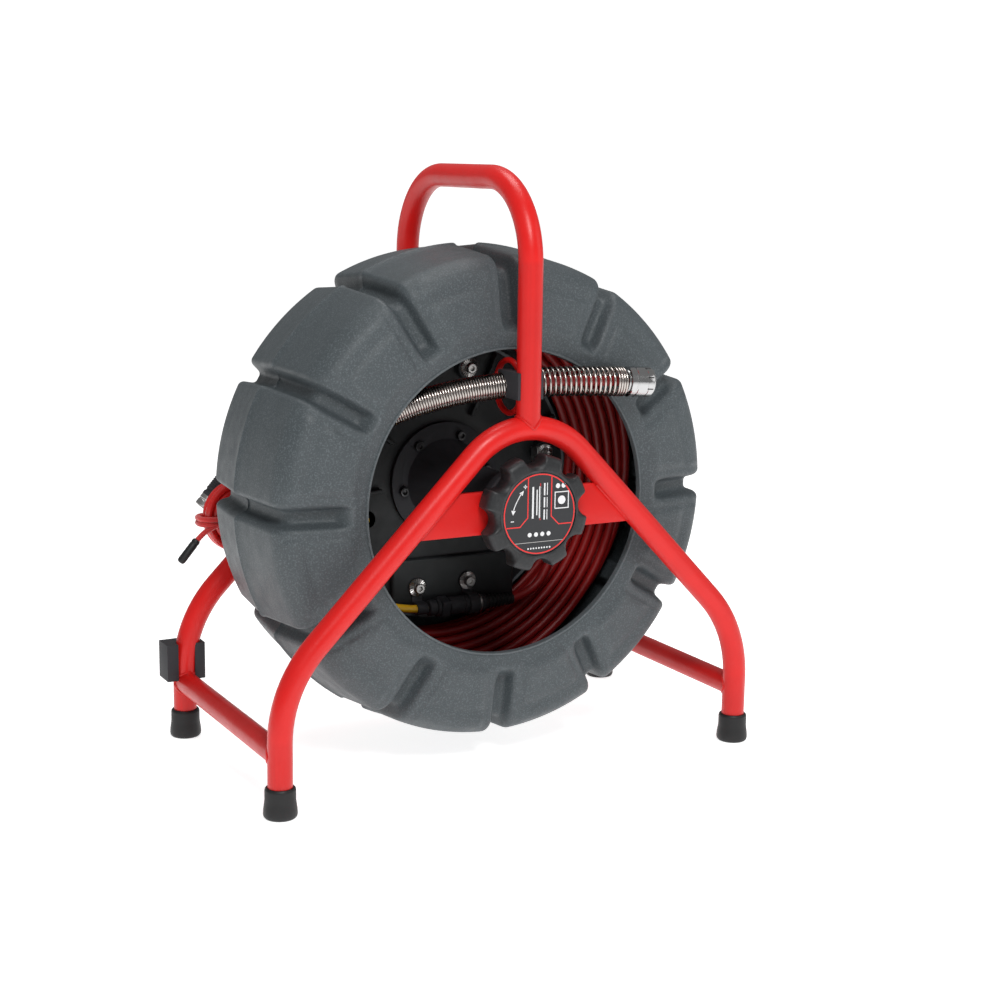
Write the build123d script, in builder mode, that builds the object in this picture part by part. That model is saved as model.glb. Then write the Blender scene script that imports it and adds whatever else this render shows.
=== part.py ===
from build123d import *
import os
from math import atan2, cos, pi, radians, sin, tan

# Drain inspection camera on its push-cable reel.
# Frame: X to the right along the front, +Y to the rear, +Z up, millimetres.
# The origin is on the floor under the middle of the stand.

# ---------------------------------------------------------------- driving dimensions
TUBE_R = 12.0  # stand tube, outside radius
FOOT_X = 259.0  # foot centres, half the spacing across
ARCH_Y = 134.5  # front and rear arch planes
HANDLE_Z = 591.0  # centreline of the handle's top bar
HANDLE_BEND = 81.0
ARCH_CORNER_Z = 387.8  # where the two sloping legs' centrelines would cross
LEG_SLOPE = 0.98  # sideways travel of a sloping leg for each unit of height
ARCH_BEND = 81.0
KNEE_BEND = 128.0
BAR_Z = 60.0  # cross bars between front and rear legs
BAR_R = 11.5
FOOT_H = 30.0
FOOT_R = 14.9
FOOT_FLARE_R = 16.4
FOOT_FLOOR = 8.0  # rubber under the tube's end

HUB_Z = 273.0  # drum axis height; the axis runs along Y at x = 0
AXLE_R = 8.0
BUSH_CLEARANCE = 0.05
BUSH_R = 14.0
BUSH_LENGTH = 20.0

PLATE_T = 5.0
PLATE_LOW = 252.0
PLATE_HIGH = 294.0
REAR_PLATE_LOW = 236.0
REAR_PLATE_HIGH = 300.0

RIDGE_R = 252.0  # drum, largest radius, at the mould's parting line
RIM_R = 248.0  # drum, where the rim meets the faces
FACE_Y = 104.0  # drum lip plane, front and rear
MOUTH_R = 153.0
WALL = 5.0
SHOULDER = 38.0
GROOVE_COUNT = 12
GROOVE_WIDTH = 22.0
GROOVE_DEPTH = 14.0
GROOVE_END_R = 173.0
WEB_FRONT = 46.0
WEB_BACK = 52.0
RECESS_R = 146.0
PAD_Y = 38.0  # front of the raised pads on the web

HUB_FRONT = -122.0
HUB_BACK = 64.0
HUB_NOSE_R = 38.0
FLANGE_R = 62.0
FLANGE_T = 6.0
HUB_TAIL_R = 30.0
SCREW_CIRCLE_R = 50.0
SCREW_R = 3.0
WASHER_R = 10.0
WASHER_T = 2.0

CABLE_R = 5.0  # push cable
COIL_IN_R = 163.0
COIL_OUT_R = 227.0

KNOB_R = 57.0
KNOB_FRONT = -161.0
KNOB_BACK = -139.0
LOBES = 8
SCALLOP_R = 13.0
SCALLOP_CENTRE_R = 60.0
KNOB_ANGLE = 5.0
LABEL_R = 40.4
INSERT_R = 14.0

SYSTEM_R = 4.0  # system cable
HANK_Y = 147.5
HANK_DEPTH = 16.5
HANK_LEFT_X = -188.0
HANK_RIGHT_X = -38.0
HANK_Z = 229.0
HANK_OUT_R = 41.0
HANK_IN_R = 16.5
HOOK_R = 2.5

os.makedirs("parts", exist_ok=True)
HUB_AXIS = Axis((0, 0, HUB_Z), (0, 1, 0))
SECTION = Plane.XY.offset(HUB_Z)  # local x is the radius, local y runs along the hub


def save(piece, name):
    """Label a finished solid and write its STEP file."""
    piece.label = name
    export_step(piece, f"parts/{name}.step")
    return piece


def ring(outer_r, inner_r, y0, y1):
    """A round sleeve or disc on the hub axis."""
    with BuildPart() as sleeve:
        with BuildSketch(SECTION):
            with Locations(((outer_r + inner_r) / 2, (y0 + y1) / 2)):
                Rectangle(outer_r - inner_r, y1 - y0)
        revolve(axis=HUB_AXIS)
    return sleeve.part


def turned(outline):
    """A solid of revolution about the hub axis from (radius, y) points."""
    with BuildPart() as body:
        with BuildSketch(SECTION):
            with BuildLine():
                Polyline(*outline, close=True)
            make_face()
        revolve(axis=HUB_AXIS)
    return body.part


def rod_y(x, z, radius, y0, y1):
    """A round rod along Y."""
    with BuildPart() as rod:
        with BuildSketch(Plane.XZ.offset(-y0)):
            with Locations((x, z)):
                Circle(radius)
        extrude(amount=-(y1 - y0))
    return rod.part


def rod_x(y, z, radius, x0, x1):
    """A round rod along X."""
    with BuildPart() as rod:
        with BuildSketch(Plane.YZ.offset(x0)):
            with Locations((y, z)):
                Circle(radius)
        extrude(amount=x1 - x0)
    return rod.part


def block(x0, x1, y0, y1, z0, z1):
    """A plain block between two corners."""
    with BuildPart() as body:
        with Locations(((x0 + x1) / 2, (y0 + y1) / 2, (z0 + z1) / 2)):
            Box(x1 - x0, y1 - y0, z1 - z0)
    return body.part


def swept(points, radii, radius):
    """A round bar along straight runs joined by tangent arcs."""
    with BuildPart() as bar:
        with BuildLine() as path:
            FilletPolyline(*points, radius=radii)
        with BuildSketch(Plane(origin=path.line @ 0, z_dir=path.line % 0)):
            Circle(radius)
        sweep(path=path.line)
    return bar.part


def easy_radii(points):
    """The largest arc that the two runs at each corner allow."""
    radii = []
    for before, corner, after in zip(points, points[1:], points[2:]):
        run_in = Vector(corner) - Vector(before)
        run_out = Vector(after) - Vector(corner)
        half_turn = radians(run_in.get_angle(run_out)) / 2
        radii.append(0.45 * min(run_in.length, run_out.length) / tan(half_turn))
    return radii


def cord(points, radius, name):
    """A cord's tube, with its arc radii and its volume against section times length."""
    radii = easy_radii(points)
    with BuildLine() as path:
        FilletPolyline(*points, radius=radii)
    tube = swept(points, radii, radius)
    length = sum(edge.length for edge in path.line.edges())
    ratio = tube.volume / (pi * radius**2 * length)
    print(f"{name}: length {length:.0f}, volume ratio {ratio:.3f}")
    print(f"  arc radii {[round(r) for r in radii]}")
    return tube


# ---------------------------------------------------------------- stand
def arch(y):
    """One bent tube: two legs and the rounded apex between them."""
    knee_z = ARCH_CORNER_Z - FOOT_X / LEG_SLOPE
    points = [
        (-FOOT_X, y, FOOT_FLOOR),
        (-FOOT_X, y, knee_z),
        (0, y, ARCH_CORNER_Z),
        (FOOT_X, y, knee_z),
        (FOOT_X, y, FOOT_FLOOR),
    ]
    return swept(points, [KNEE_BEND, ARCH_BEND, KNEE_BEND], TUBE_R)


front_arch = save(arch(-ARCH_Y), "front_arch")
rear_arch = save(arch(ARCH_Y), "rear_arch")

apex_z = ARCH_CORNER_Z - ARCH_BEND * (1 / cos(atan2(1, LEG_SLOPE)) - 1)
handle_points = [
    (0, -ARCH_Y, apex_z),
    (0, -ARCH_Y, HANDLE_Z),
    (0, ARCH_Y, HANDLE_Z),
    (0, ARCH_Y, apex_z),
]
handle_bar = swept(handle_points, HANDLE_BEND, TUBE_R) - front_arch - rear_arch
handle = save(handle_bar.solids().sort_by(SortBy.VOLUME)[-1], "handle")


def cross_bar(x):
    """A straight tube from the rear leg to the front leg, coped round both."""
    with BuildPart() as bar:
        with BuildSketch(Plane.XZ.offset(-ARCH_Y)):
            with Locations((x, BAR_Z)):
                Circle(BAR_R)
        extrude(amount=2 * ARCH_Y)
    coped = bar.part - front_arch - rear_arch
    return coped.solids().sort_by(SortBy.VOLUME)[-1]


left_bar = save(cross_bar(-FOOT_X), "left_cross_bar")
save(cross_bar(FOOT_X), "right_cross_bar")


def foot(x, y):
    """A rubber cap with a flared sole, pushed over a leg's end."""
    with BuildPart() as cap:
        with BuildSketch(Plane.XZ):
            with BuildLine():
                Polyline(
                    (0, 0),
                    (FOOT_FLARE_R - 3, 0),
                    (FOOT_FLARE_R, 4),
                    (FOOT_FLARE_R - 0.4, 10),
                    (FOOT_R, 16),
                    (FOOT_R, FOOT_H - 2),
                    (FOOT_R - 1.2, FOOT_H),
                    (TUBE_R, FOOT_H),
                    (TUBE_R, FOOT_FLOOR),
                    (0, FOOT_FLOOR),
                    close=True,
                )
            make_face()
        revolve(axis=Axis.Z)
    return cap.part.moved(Location((x, y, 0)))


for x_side, x_word in ((-1, "left"), (1, "right")):
    for y_side, y_word in ((-1, "front"), (1, "rear")):
        save(foot(x_side * FOOT_X, y_side * ARCH_Y), f"foot_{y_word}_{x_word}")


def bridge_plate(y, low, high, hole_r, tubes):
    """A flat plate welded between an arch's legs, with the axle hole on the hub axis."""
    reach_low = (ARCH_CORNER_Z - low) * LEG_SLOPE
    reach_high = (ARCH_CORNER_Z - high) * LEG_SLOPE
    with BuildPart() as plate:
        with BuildSketch(Plane.XZ.offset(-(y - PLATE_T / 2))):
            with BuildLine():
                Polyline(
                    (-reach_low, low),
                    (reach_low, low),
                    (reach_high, high),
                    (-reach_high, high),
                    close=True,
                )
            make_face()
            with Locations((0, HUB_Z)):
                Circle(hole_r, mode=Mode.SUBTRACT)
        extrude(amount=-PLATE_T)
    coped_plate = plate.part - tubes
    return coped_plate.solids().sort_by(SortBy.VOLUME)[-1]


save(bridge_plate(-ARCH_Y, PLATE_LOW, PLATE_HIGH, INSERT_R + 1, front_arch), "front_plate")

# ---------------------------------------------------------------- system cable gland in the rear plate
GLAND_X = 45.0
GLAND_Z = 262.0
BOOT_Y = 156.0
BOOT_LENGTH = 29.0
gland_body = rod_y(GLAND_X, GLAND_Z, 9, ARCH_Y - PLATE_T / 2, ARCH_Y + PLATE_T / 2)
gland_flange = rod_y(GLAND_X, GLAND_Z, 13, ARCH_Y + PLATE_T / 2, ARCH_Y + 9)
gland_knuckle = rod_y(GLAND_X, GLAND_Z, 9, ARCH_Y + 9, BOOT_Y + 8)
with BuildPart() as gland_boot:
    with BuildSketch(Plane.YZ.offset(GLAND_X)):
        with Locations((BOOT_Y, GLAND_Z)):
            Circle(7.6)
    with BuildSketch(Plane.YZ.offset(GLAND_X - BOOT_LENGTH)):
        with Locations((BOOT_Y, GLAND_Z)):
            Circle(5.2)
    loft()
gland = save(gland_body + gland_flange + gland_knuckle + gland_boot.part, "cable_gland")

rear_plate_blank = bridge_plate(ARCH_Y, REAR_PLATE_LOW, REAR_PLATE_HIGH, AXLE_R, rear_arch)
save(rear_plate_blank - gland_body, "rear_plate")

# ---------------------------------------------------------------- axle and its nut
AXLE_FRONT = -156.0
AXLE_BACK = 152.0
save(ring(AXLE_R, 0, AXLE_FRONT, AXLE_BACK), "axle")
save(ring(14, AXLE_R, ARCH_Y + PLATE_T / 2, ARCH_Y + PLATE_T / 2 + 2), "axle_washer")
with BuildPart() as axle_nut:
    with BuildSketch(Plane.XZ.offset(-(ARCH_Y + PLATE_T / 2 + 2))):
        with Locations((0, HUB_Z)):
            RegularPolygon(radius=13.5, side_count=6)
            Circle(AXLE_R, mode=Mode.SUBTRACT)
    extrude(amount=-10)
save(axle_nut.part, "axle_nut")


# ---------------------------------------------------------------- drum shell
def rim_outline(inset, inner_r):
    """Closed half-section of the ring-shaped drum body, drawn in by a wall's thickness."""
    face = FACE_Y - inset
    with BuildSketch() as half_section:
        with BuildLine():
            Polyline(
                (inner_r, -face),
                (MOUTH_R + 6, -face - 1.0),
                (RIM_R - 6 - inset, -face + 15),
                (RIDGE_R - inset - 1.6, -3),
                (RIDGE_R - inset, 0),
                (RIDGE_R - inset - 1.6, 3),
                (RIM_R - 6 - inset, face - 15),
                (MOUTH_R + 6, face + 1.0),
                (inner_r, face),
                close=True,
            )
        make_face()
        shoulders = [v for v in half_section.vertices() if abs(v.X - (RIM_R - 6 - inset)) < 0.01]
        fillet(shoulders, SHOULDER - inset)
    return half_section.sketch


def groove_solid(inset, width, end_r):
    """A slab that follows the drum's section from the rim down both faces."""
    with BuildPart() as slab:
        with BuildSketch(SECTION.offset(-width / 2)):
            with Locations(((end_r + RIDGE_R + 40) / 2, 0)):
                Rectangle(RIDGE_R + 40 - end_r, 2 * FACE_Y + 60)
            add(rim_outline(inset, 100), mode=Mode.SUBTRACT)
        extrude(amount=width)
        ends = slab.edges().filter_by(Axis.Y).filter_by(lambda e: abs(e.center().X - end_r) < 0.01)
        fillet(ends, width / 2 - 0.5)
    return slab.part


def all_round(piece, count, start=0.0):
    """Copies of a piece spaced evenly about the hub axis."""
    return [piece.rotate(HUB_AXIS, start + i * 360 / count) for i in range(count)]


inner_rib = groove_solid(GROOVE_DEPTH + WALL, GROOVE_WIDTH + 2 * WALL, GROOVE_END_R - WALL)
outer_groove = groove_solid(GROOVE_DEPTH, GROOVE_WIDTH, GROOVE_END_R)

with BuildPart() as cavity:
    with BuildSketch(SECTION):
        add(rim_outline(WALL, RECESS_R + WALL))
    revolve(axis=HUB_AXIS)
    for rib in all_round(inner_rib, GROOVE_COUNT):
        add(rib, mode=Mode.SUBTRACT)

with BuildPart() as drum_shell:
    with BuildSketch(SECTION):
        add(rim_outline(0, RECESS_R))
    revolve(axis=HUB_AXIS)
    for groove in all_round(outer_groove, GROOVE_COUNT):
        add(groove, mode=Mode.SUBTRACT)
    add(cavity.part, mode=Mode.SUBTRACT)
    add(ring(MOUTH_R, 0, -FACE_Y - 20, WEB_FRONT), mode=Mode.SUBTRACT)
    add(ring(RECESS_R + WALL, HUB_TAIL_R, WEB_FRONT, WEB_BACK))

# raised ribs and pads moulded on the front of the web
WEB_BOLTS = [(-34.0, 160.0), (26.0, 162.0), (26.0, 391.5), (119.0, 295.0)]
PAD = (-62.0, 84.0, 138.0, 190.0)  # low x, high x, low z, high z
RIB_COUNT = 9
rib_blank = block(74, RECESS_R + 2, WEB_FRONT - 8, WEB_FRONT + 1, HUB_Z - 3, HUB_Z + 3)
pad_block = block(PAD[0], PAD[1], PAD_Y, WEB_FRONT + 1, PAD[2], PAD[3])
shell = drum_shell.part + pad_block
for rib in all_round(rib_blank, RIB_COUNT, start=25):
    centre = rib.center()
    in_pad = PAD[0] - 20 < centre.X < PAD[1] + 20 and centre.Z < PAD[3] + 10
    if not in_pad:
        shell += rib
for x, z in WEB_BOLTS[2:]:
    shell += rod_y(x, z, 13, PAD_Y, WEB_FRONT + 1)
for x, z in WEB_BOLTS:
    shell -= rod_y(x, z, SCREW_R, PAD_Y - 1, WEB_BACK + 1)
GROMMET_X = -88.0
GROMMET_Z = 236.0
GROMMET_R = 9.5
shell -= rod_y(GROMMET_X, GROMMET_Z, GROMMET_R, WEB_FRONT - 9, WEB_BACK + 1)
HUB_SCREWS = [
    (SCREW_CIRCLE_R * cos(radians(60 * i + 10)), HUB_Z + SCREW_CIRCLE_R * sin(radians(60 * i + 10)))
    for i in range(6)
]
for x, z in HUB_SCREWS:
    shell -= rod_y(x, z, SCREW_R, WEB_FRONT - 1, WEB_BACK + 1)
shell = shell.solids().sort_by(SortBy.VOLUME)[-1]
save(shell, "drum_shell")

# ---------------------------------------------------------------- hub, bushes and screws
hub = turned(
    [
        (BUSH_R, HUB_FRONT),
        (HUB_NOSE_R - 2, HUB_FRONT),
        (HUB_NOSE_R, HUB_FRONT + 2),
        (HUB_NOSE_R, HUB_FRONT + 12),
        (27, HUB_FRONT + 30),
        (27, 0),
        (44, WEB_FRONT - FLANGE_T),
        (FLANGE_R, WEB_FRONT - FLANGE_T),
        (FLANGE_R, WEB_FRONT),
        (HUB_TAIL_R, WEB_FRONT),
        (HUB_TAIL_R, HUB_BACK),
        (BUSH_R, HUB_BACK),
        (BUSH_R, HUB_BACK - BUSH_LENGTH),
        (AXLE_R + 3, HUB_BACK - BUSH_LENGTH),
        (AXLE_R + 3, HUB_FRONT + BUSH_LENGTH),
        (BUSH_R, HUB_FRONT + BUSH_LENGTH),
    ]
)
for x, z in HUB_SCREWS:
    hub -= rod_y(x, z, SCREW_R, WEB_FRONT - FLANGE_T - 1, WEB_FRONT + 1)
save(hub, "drum_hub")
save(ring(BUSH_R, AXLE_R + BUSH_CLEARANCE, HUB_FRONT, HUB_FRONT + BUSH_LENGTH), "front_bush")
save(ring(BUSH_R, AXLE_R + BUSH_CLEARANCE, HUB_BACK - BUSH_LENGTH, HUB_BACK), "rear_bush")


def screw(x, z, head_y, tip_y, head_r, head_h):
    """A socket screw along Y, its head towards the front."""
    head = rod_y(x, z, head_r, head_y - head_h, head_y)
    socket = rod_y(x, z, head_r * 0.5, head_y - head_h, head_y - head_h * 0.45)
    return head - socket + rod_y(x, z, SCREW_R, head_y, tip_y)


hub_screws = Compound([screw(x, z, WEB_FRONT - FLANGE_T, WEB_BACK, 5, 5.5) for x, z in HUB_SCREWS])
save(hub_screws, "hub_screws")

# ---------------------------------------------------------------- slip ring
ROTOR_R = 27.0
ROTOR_BACK = 108.0
HOUSING_R = 44.0
HOUSING_FRONT = 82.0
HOUSING_BORE_R = 31.0
HOUSING_FLOOR = 112.0
HOUSING_BACK = ARCH_Y - PLATE_T / 2
save(ring(ROTOR_R, AXLE_R + 1, HUB_BACK, ROTOR_BACK), "slip_ring_rotor")
slip_ring_housing = turned(
    [
        (HOUSING_BORE_R, HOUSING_FRONT),
        (HOUSING_R - 2, HOUSING_FRONT),
        (HOUSING_R, HOUSING_FRONT + 2),
        (HOUSING_R, HOUSING_BACK),
        (AXLE_R, HOUSING_BACK),
        (AXLE_R, HOUSING_FLOOR),
        (HOUSING_BORE_R, HOUSING_FLOOR),
    ]
)
save(slip_ring_housing, "slip_ring_housing")

# ---------------------------------------------------------------- push cable: coil, lead, termination
coil = turned(
    [
        (COIL_IN_R, 42),
        (COIL_OUT_R, 3),
        (COIL_OUT_R - 1, 14),
        (COIL_OUT_R - 9, 50),
        (208, 64),
        (197, 71),
        (COIL_IN_R, 78),
    ]
)
save(coil, "push_cable_coil")

TERM_Y = 26.0
TERM_Z = 139.0
TERM_LEFT = -27.0
TERM_RIGHT = 40.0
RELIEF_TIP = 76.0
with BuildPart() as termination:
    for x0, x1, radius in ((TERM_LEFT, -18, 8.5), (-18, -14, 10), (-14, 30, 9.5), (30, TERM_RIGHT, 9)):
        add(rod_x(TERM_Y, TERM_Z, radius, x0, x1))
save(termination.part, "termination")
with BuildPart() as strain_relief:
    with BuildSketch(Plane.YZ.offset(TERM_RIGHT)):
        with Locations((TERM_Y, TERM_Z)):
            Circle(8.5)
    with BuildSketch(Plane.YZ.offset(RELIEF_TIP)):
        with Locations((TERM_Y, TERM_Z)):
            Circle(6)
    loft()
save(strain_relief.part, "termination_relief")

LEAD_POINTS = [
    (76, 26, 139),
    (94, 26, 142.5),
    (110, 27, 153.5),
    (121, 28.5, 170),
    (131, 30.5, 190),
    (139, 33.5, 212),
    (146, 37.5, 238),
    (151, 40.5, 268),
    (156, 45, 300),
    (152, 50, 330),
]
push_lead = cord(LEAD_POINTS, CABLE_R, "push cable lead")
save((push_lead - coil - strain_relief.part).solids().sort_by(SortBy.VOLUME)[-1], "push_cable_lead")

LEAD_R = 4.2
YELLOW_POINTS = [
    (TERM_LEFT, 26, 139),
    (-46, 26, 140),
    (-72, 27, 145),
    (-97, 28, 158),
    (-114, 29, 180),
    (-117, 32, 205),
    (-106, 37, 222),
    (-92, 43, 233),
    (-86, 53, 238),
    (-77, 64, 242),
    (-56, 71.5, 249),
    (-26, 71.5, 263),
]
yellow_lead = cord(YELLOW_POINTS, LEAD_R, "inner lead")
rotor_solid = ring(ROTOR_R, 0, HUB_BACK, ROTOR_BACK)
yellow_lead = (yellow_lead - rotor_solid - termination.part).solids().sort_by(SortBy.VOLUME)[-1]
save(yellow_lead, "inner_lead")
grommet = rod_y(GROMMET_X, GROMMET_Z, GROMMET_R, WEB_FRONT, WEB_BACK)
grommet += rod_y(GROMMET_X, GROMMET_Z, GROMMET_R + 2.5, WEB_BACK, WEB_BACK + 2)
grommet -= yellow_lead
save(grommet.solids().sort_by(SortBy.VOLUME)[-1], "lead_grommet")

# P-clips round the termination, each under the head of a web bolt
CLIP_T = 2.0
CLIP_HALF = 6.0
for (x, z), name in zip(WEB_BOLTS[:2], ("p_clip_left", "p_clip_right")):
    core_r = 4.2 if x < TERM_LEFT else 9.5
    low_x = x - CLIP_HALF
    high_x = x + CLIP_HALF
    band = rod_x(TERM_Y, TERM_Z, core_r + CLIP_T, low_x, high_x)
    neck = block(low_x, high_x, PAD_Y - CLIP_T, PAD_Y, TERM_Z, z + 7)
    link = block(low_x, high_x, TERM_Y, PAD_Y, TERM_Z + core_r, TERM_Z + core_r + CLIP_T)
    clip = band + neck + link
    clip -= rod_x(TERM_Y, TERM_Z, core_r, low_x - 1, high_x + 1)
    clip -= rod_y(x, z, SCREW_R, PAD_Y - CLIP_T - 1, PAD_Y + 1)
    clip -= yellow_lead
    save(clip.solids().sort_by(SortBy.VOLUME)[-1], name)

stack_fronts = [PAD_Y - CLIP_T, PAD_Y - CLIP_T, PAD_Y, PAD_Y - 1.5]
bolts = []
washers = []
for (x, z), front in zip(WEB_BOLTS, stack_fronts):
    washer = rod_y(x, z, WASHER_R, front - WASHER_T, front)
    washers.append(washer - rod_y(x, z, SCREW_R, front - WASHER_T - 1, front + 1))
    bolts.append(screw(x, z, front - WASHER_T, WEB_BACK + 8, 5.5, 6))
save(Compound(washers), "web_washers")
save(Compound(bolts), "web_bolts")
nuts = []
for x, z in WEB_BOLTS:
    with BuildPart() as nut:
        with BuildSketch(Plane.XZ.offset(-WEB_BACK)):
            with Locations((x, z)):
                RegularPolygon(radius=6, side_count=6)
                Circle(SCREW_R, mode=Mode.SUBTRACT)
        extrude(amount=-5)
    nuts.append(nut.part)
save(Compound(nuts), "web_nuts")

TAB_X, TAB_Z = WEB_BOLTS[3]
earth_tab = block(TAB_X - 16, TAB_X + 6, PAD_Y - 1.5, PAD_Y, TAB_Z - 8, TAB_Z + 8)
earth_tab += block(TAB_X - 16, TAB_X - 14.5, PAD_Y - 14, PAD_Y, TAB_Z - 8, TAB_Z + 8)
earth_tab -= rod_y(TAB_X, TAB_Z, SCREW_R, PAD_Y - 3, PAD_Y + 1)
save(earth_tab, "earth_tab")


# ---------------------------------------------------------------- camera, springs and the cable's tail
AXIS_POINTS = [
    (115, -124, 392),
    (64, -120.5, 395),
    (6, -107, 393.5),
    (-54, -93, 386),
    (-106, -80, 373),
    (-150, -68, 350),
    (-181, -58, 316),
    (-198, -49, 276),
    (-201, -40, 234),
    (-190, -30, 195),
    (-168, -20, 162),
    (-140, -10, 138),
]
tail = cord(AXIS_POINTS, CABLE_R, "push cable tail")
save(tail, "push_cable_tail")

SPRING_R = 15.2
CLOSE_R = 13.0
SPRING_BORE = 10.0
open_points = [AXIS_POINTS[0], AXIS_POINTS[1], (20, -110.3, 394)]
close_points = [(13, -108.6, 393.8), (-20, -101, 390.5), *AXIS_POINTS[3:6], (-172, -61, 328)]
FERRULE_TIP = (-183, -57, 312)
FERRULE_LENGTH = 22.0


def spring_sleeve(points, outer_r):
    """The outer shape of a spring, hollow round its core cable."""
    radii = easy_radii(points)
    return swept(points, radii, outer_r) - swept(points, radii, SPRING_BORE)


open_spring = save(spring_sleeve(open_points, SPRING_R), "open_spring")
close_spring = spring_sleeve(close_points, CLOSE_R)
save(close_spring, "close_spring")


def along(start, end, distance):
    """A plane square to a line, a distance from its start."""
    step = (Vector(end) - Vector(start)).normalized()
    return Plane(origin=Vector(start) + step * distance, z_dir=step)


# steel coupling between the two springs
with BuildPart() as spring_coupling:
    with BuildSketch(along(open_points[2], open_points[1], 0)):
        Circle(13.5)
        Circle(CABLE_R, mode=Mode.SUBTRACT)
    extrude(amount=-6)
coupling = spring_coupling.part - close_spring - tail
save(coupling.solids().sort_by(SortBy.VOLUME)[-1], "spring_coupling")

# tapered ferrule where the close-wound spring ends on the cable
with BuildPart() as ferrule:
    with BuildSketch(along(close_points[-1], FERRULE_TIP, 0)):
        Circle(12.5)
    with BuildSketch(along(close_points[-1], FERRULE_TIP, FERRULE_LENGTH)):
        Circle(7)
    loft()
save((ferrule.part - tail - close_spring).solids().sort_by(SortBy.VOLUME)[-1], "spring_ferrule")

HEAD_R = 15.2
HEAD_LENGTH = 30.0
head_start = AXIS_POINTS[0]
head_dir = Vector(AXIS_POINTS[0]) - Vector(AXIS_POINTS[1])
head_far = tuple(Vector(head_start) + head_dir)
with BuildPart() as camera_head:
    with BuildSketch(along(head_start, head_far, 0)):
        Circle(HEAD_R)
    extrude(amount=HEAD_LENGTH)
    fillet(camera_head.faces().sort_by(Axis.X)[-1].edges(), 2.5)
    with BuildSketch(along(head_start, head_far, HEAD_LENGTH)):
        Circle(11.5)
    extrude(amount=-8, mode=Mode.SUBTRACT)
save(camera_head.part, "camera_head")


def head_disc(radius, bore, y0, y1):
    """A disc or ring inside the front of the camera head."""
    with BuildPart() as disc:
        with BuildSketch(along(head_start, head_far, HEAD_LENGTH - y1)):
            Circle(radius)
            if bore:
                Circle(bore, mode=Mode.SUBTRACT)
        extrude(amount=y1 - y0)
    return disc.part


save(head_disc(11.5, 6, 4, 8), "led_ring")
save(head_disc(6, 0, 4, 8), "camera_lens")
save(head_disc(11.5, 0, 2, 4), "camera_window")

# clip on the front upright that holds the spring
CLIP_LOW = 381.0
CLIP_HIGH = 407.0
spring_clip = block(-14, 14, -139, -98, CLIP_LOW, CLIP_HIGH)
with BuildPart() as clip_bore:
    with BuildSketch(along((40, -114.8, 394.4), (-40, -96, 388), 0)):
        Circle(CLOSE_R + 0.8)
    extrude(amount=90)
    with BuildSketch(Plane.XY.offset(CLIP_LOW - 5)):
        with Locations((0, -ARCH_Y)):
            Circle(TUBE_R)
    extrude(amount=40)
    with BuildSketch(Plane.XY.offset(CLIP_LOW - 5)):
        with Locations((0, -ARCH_Y - 12)):
            Rectangle(19, 24)
    extrude(amount=40)
spring_clip -= clip_bore.part
for held in (close_spring, coupling, open_spring):
    spring_clip -= held
spring_clip -= block(-15, 15, -104, -97, CLIP_LOW + 4, CLIP_HIGH - 4)
spring_clip = spring_clip.solids().sort_by(SortBy.VOLUME)[-1]
save(spring_clip, "spring_clip")

# red rod ring behind the upright that the spring passes through
RING_ROD_R = 3.0
RING_MID_R = 26.0
RING_Y = -ARCH_Y + TUBE_R + RING_MID_R + 1
RING_Z = 389.0
with BuildPart() as guide_ring:
    with BuildSketch(Plane.XY.offset(RING_Z)):
        with Locations((0, RING_Y + RING_MID_R)):
            Circle(RING_ROD_R)
    revolve(axis=Axis((0, RING_Y, RING_Z), (1, 0, 0)))
ring_part = guide_ring.part - handle - front_arch - spring_clip
save(ring_part.solids().sort_by(SortBy.VOLUME)[-1], "guide_ring")

# clip on the left rear leg
leg_clip = block(-281, -240, ARCH_Y - 11, ARCH_Y + 17, 64, 103)
leg_clip = leg_clip - rear_arch - left_bar
leg_clip -= block(-269, -251, ARCH_Y - 20, ARCH_Y, 60, 110)
save(leg_clip.solids().sort_by(SortBy.VOLUME)[-1], "leg_clip")

# ---------------------------------------------------------------- brake knob
knob_cutter = rod_y(SCALLOP_CENTRE_R, HUB_Z, SCALLOP_R, KNOB_FRONT - 1, KNOB_BACK + 1)
knob = turned(
    [
        (0, KNOB_FRONT + 2),
        (LABEL_R + 0.5, KNOB_FRONT + 2),
        (LABEL_R + 0.5, KNOB_FRONT),
        (KNOB_R - 5, KNOB_FRONT),
        (KNOB_R - 2, KNOB_FRONT + 2),
        (KNOB_R, KNOB_FRONT + 6),
        (KNOB_R, KNOB_BACK - 2),
        (KNOB_R - 2, KNOB_BACK),
        (INSERT_R, KNOB_BACK),
        (INSERT_R, KNOB_FRONT + 4),
        (0, KNOB_FRONT + 4),
    ]
)
for scallop in all_round(knob_cutter, LOBES, start=-KNOB_ANGLE):
    knob -= scallop
save(knob, "drag_knob")
save(ring(LABEL_R, 0, KNOB_FRONT + 0.8, KNOB_FRONT + 2), "knob_label")
save(ring(INSERT_R, AXLE_R + BUSH_CLEARANCE, KNOB_FRONT + 4, KNOB_BACK), "knob_insert")

BRAKE_GAP = 1.2
PAD_FRONT = HUB_FRONT - BRAKE_GAP - 2.8
save(ring(33, INSERT_R, PAD_FRONT, HUB_FRONT - BRAKE_GAP), "friction_disc")
pressure_plate = turned(
    [
        (AXLE_R + 0.6, KNOB_BACK + 0.1),
        (INSERT_R - 0.5, KNOB_BACK + 0.1),
        (INSERT_R - 0.5, PAD_FRONT - 3),
        (34, PAD_FRONT - 3),
        (34, PAD_FRONT),
        (AXLE_R + 0.6, PAD_FRONT),
    ]
)
save(pressure_plate, "pressure_plate")

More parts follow.
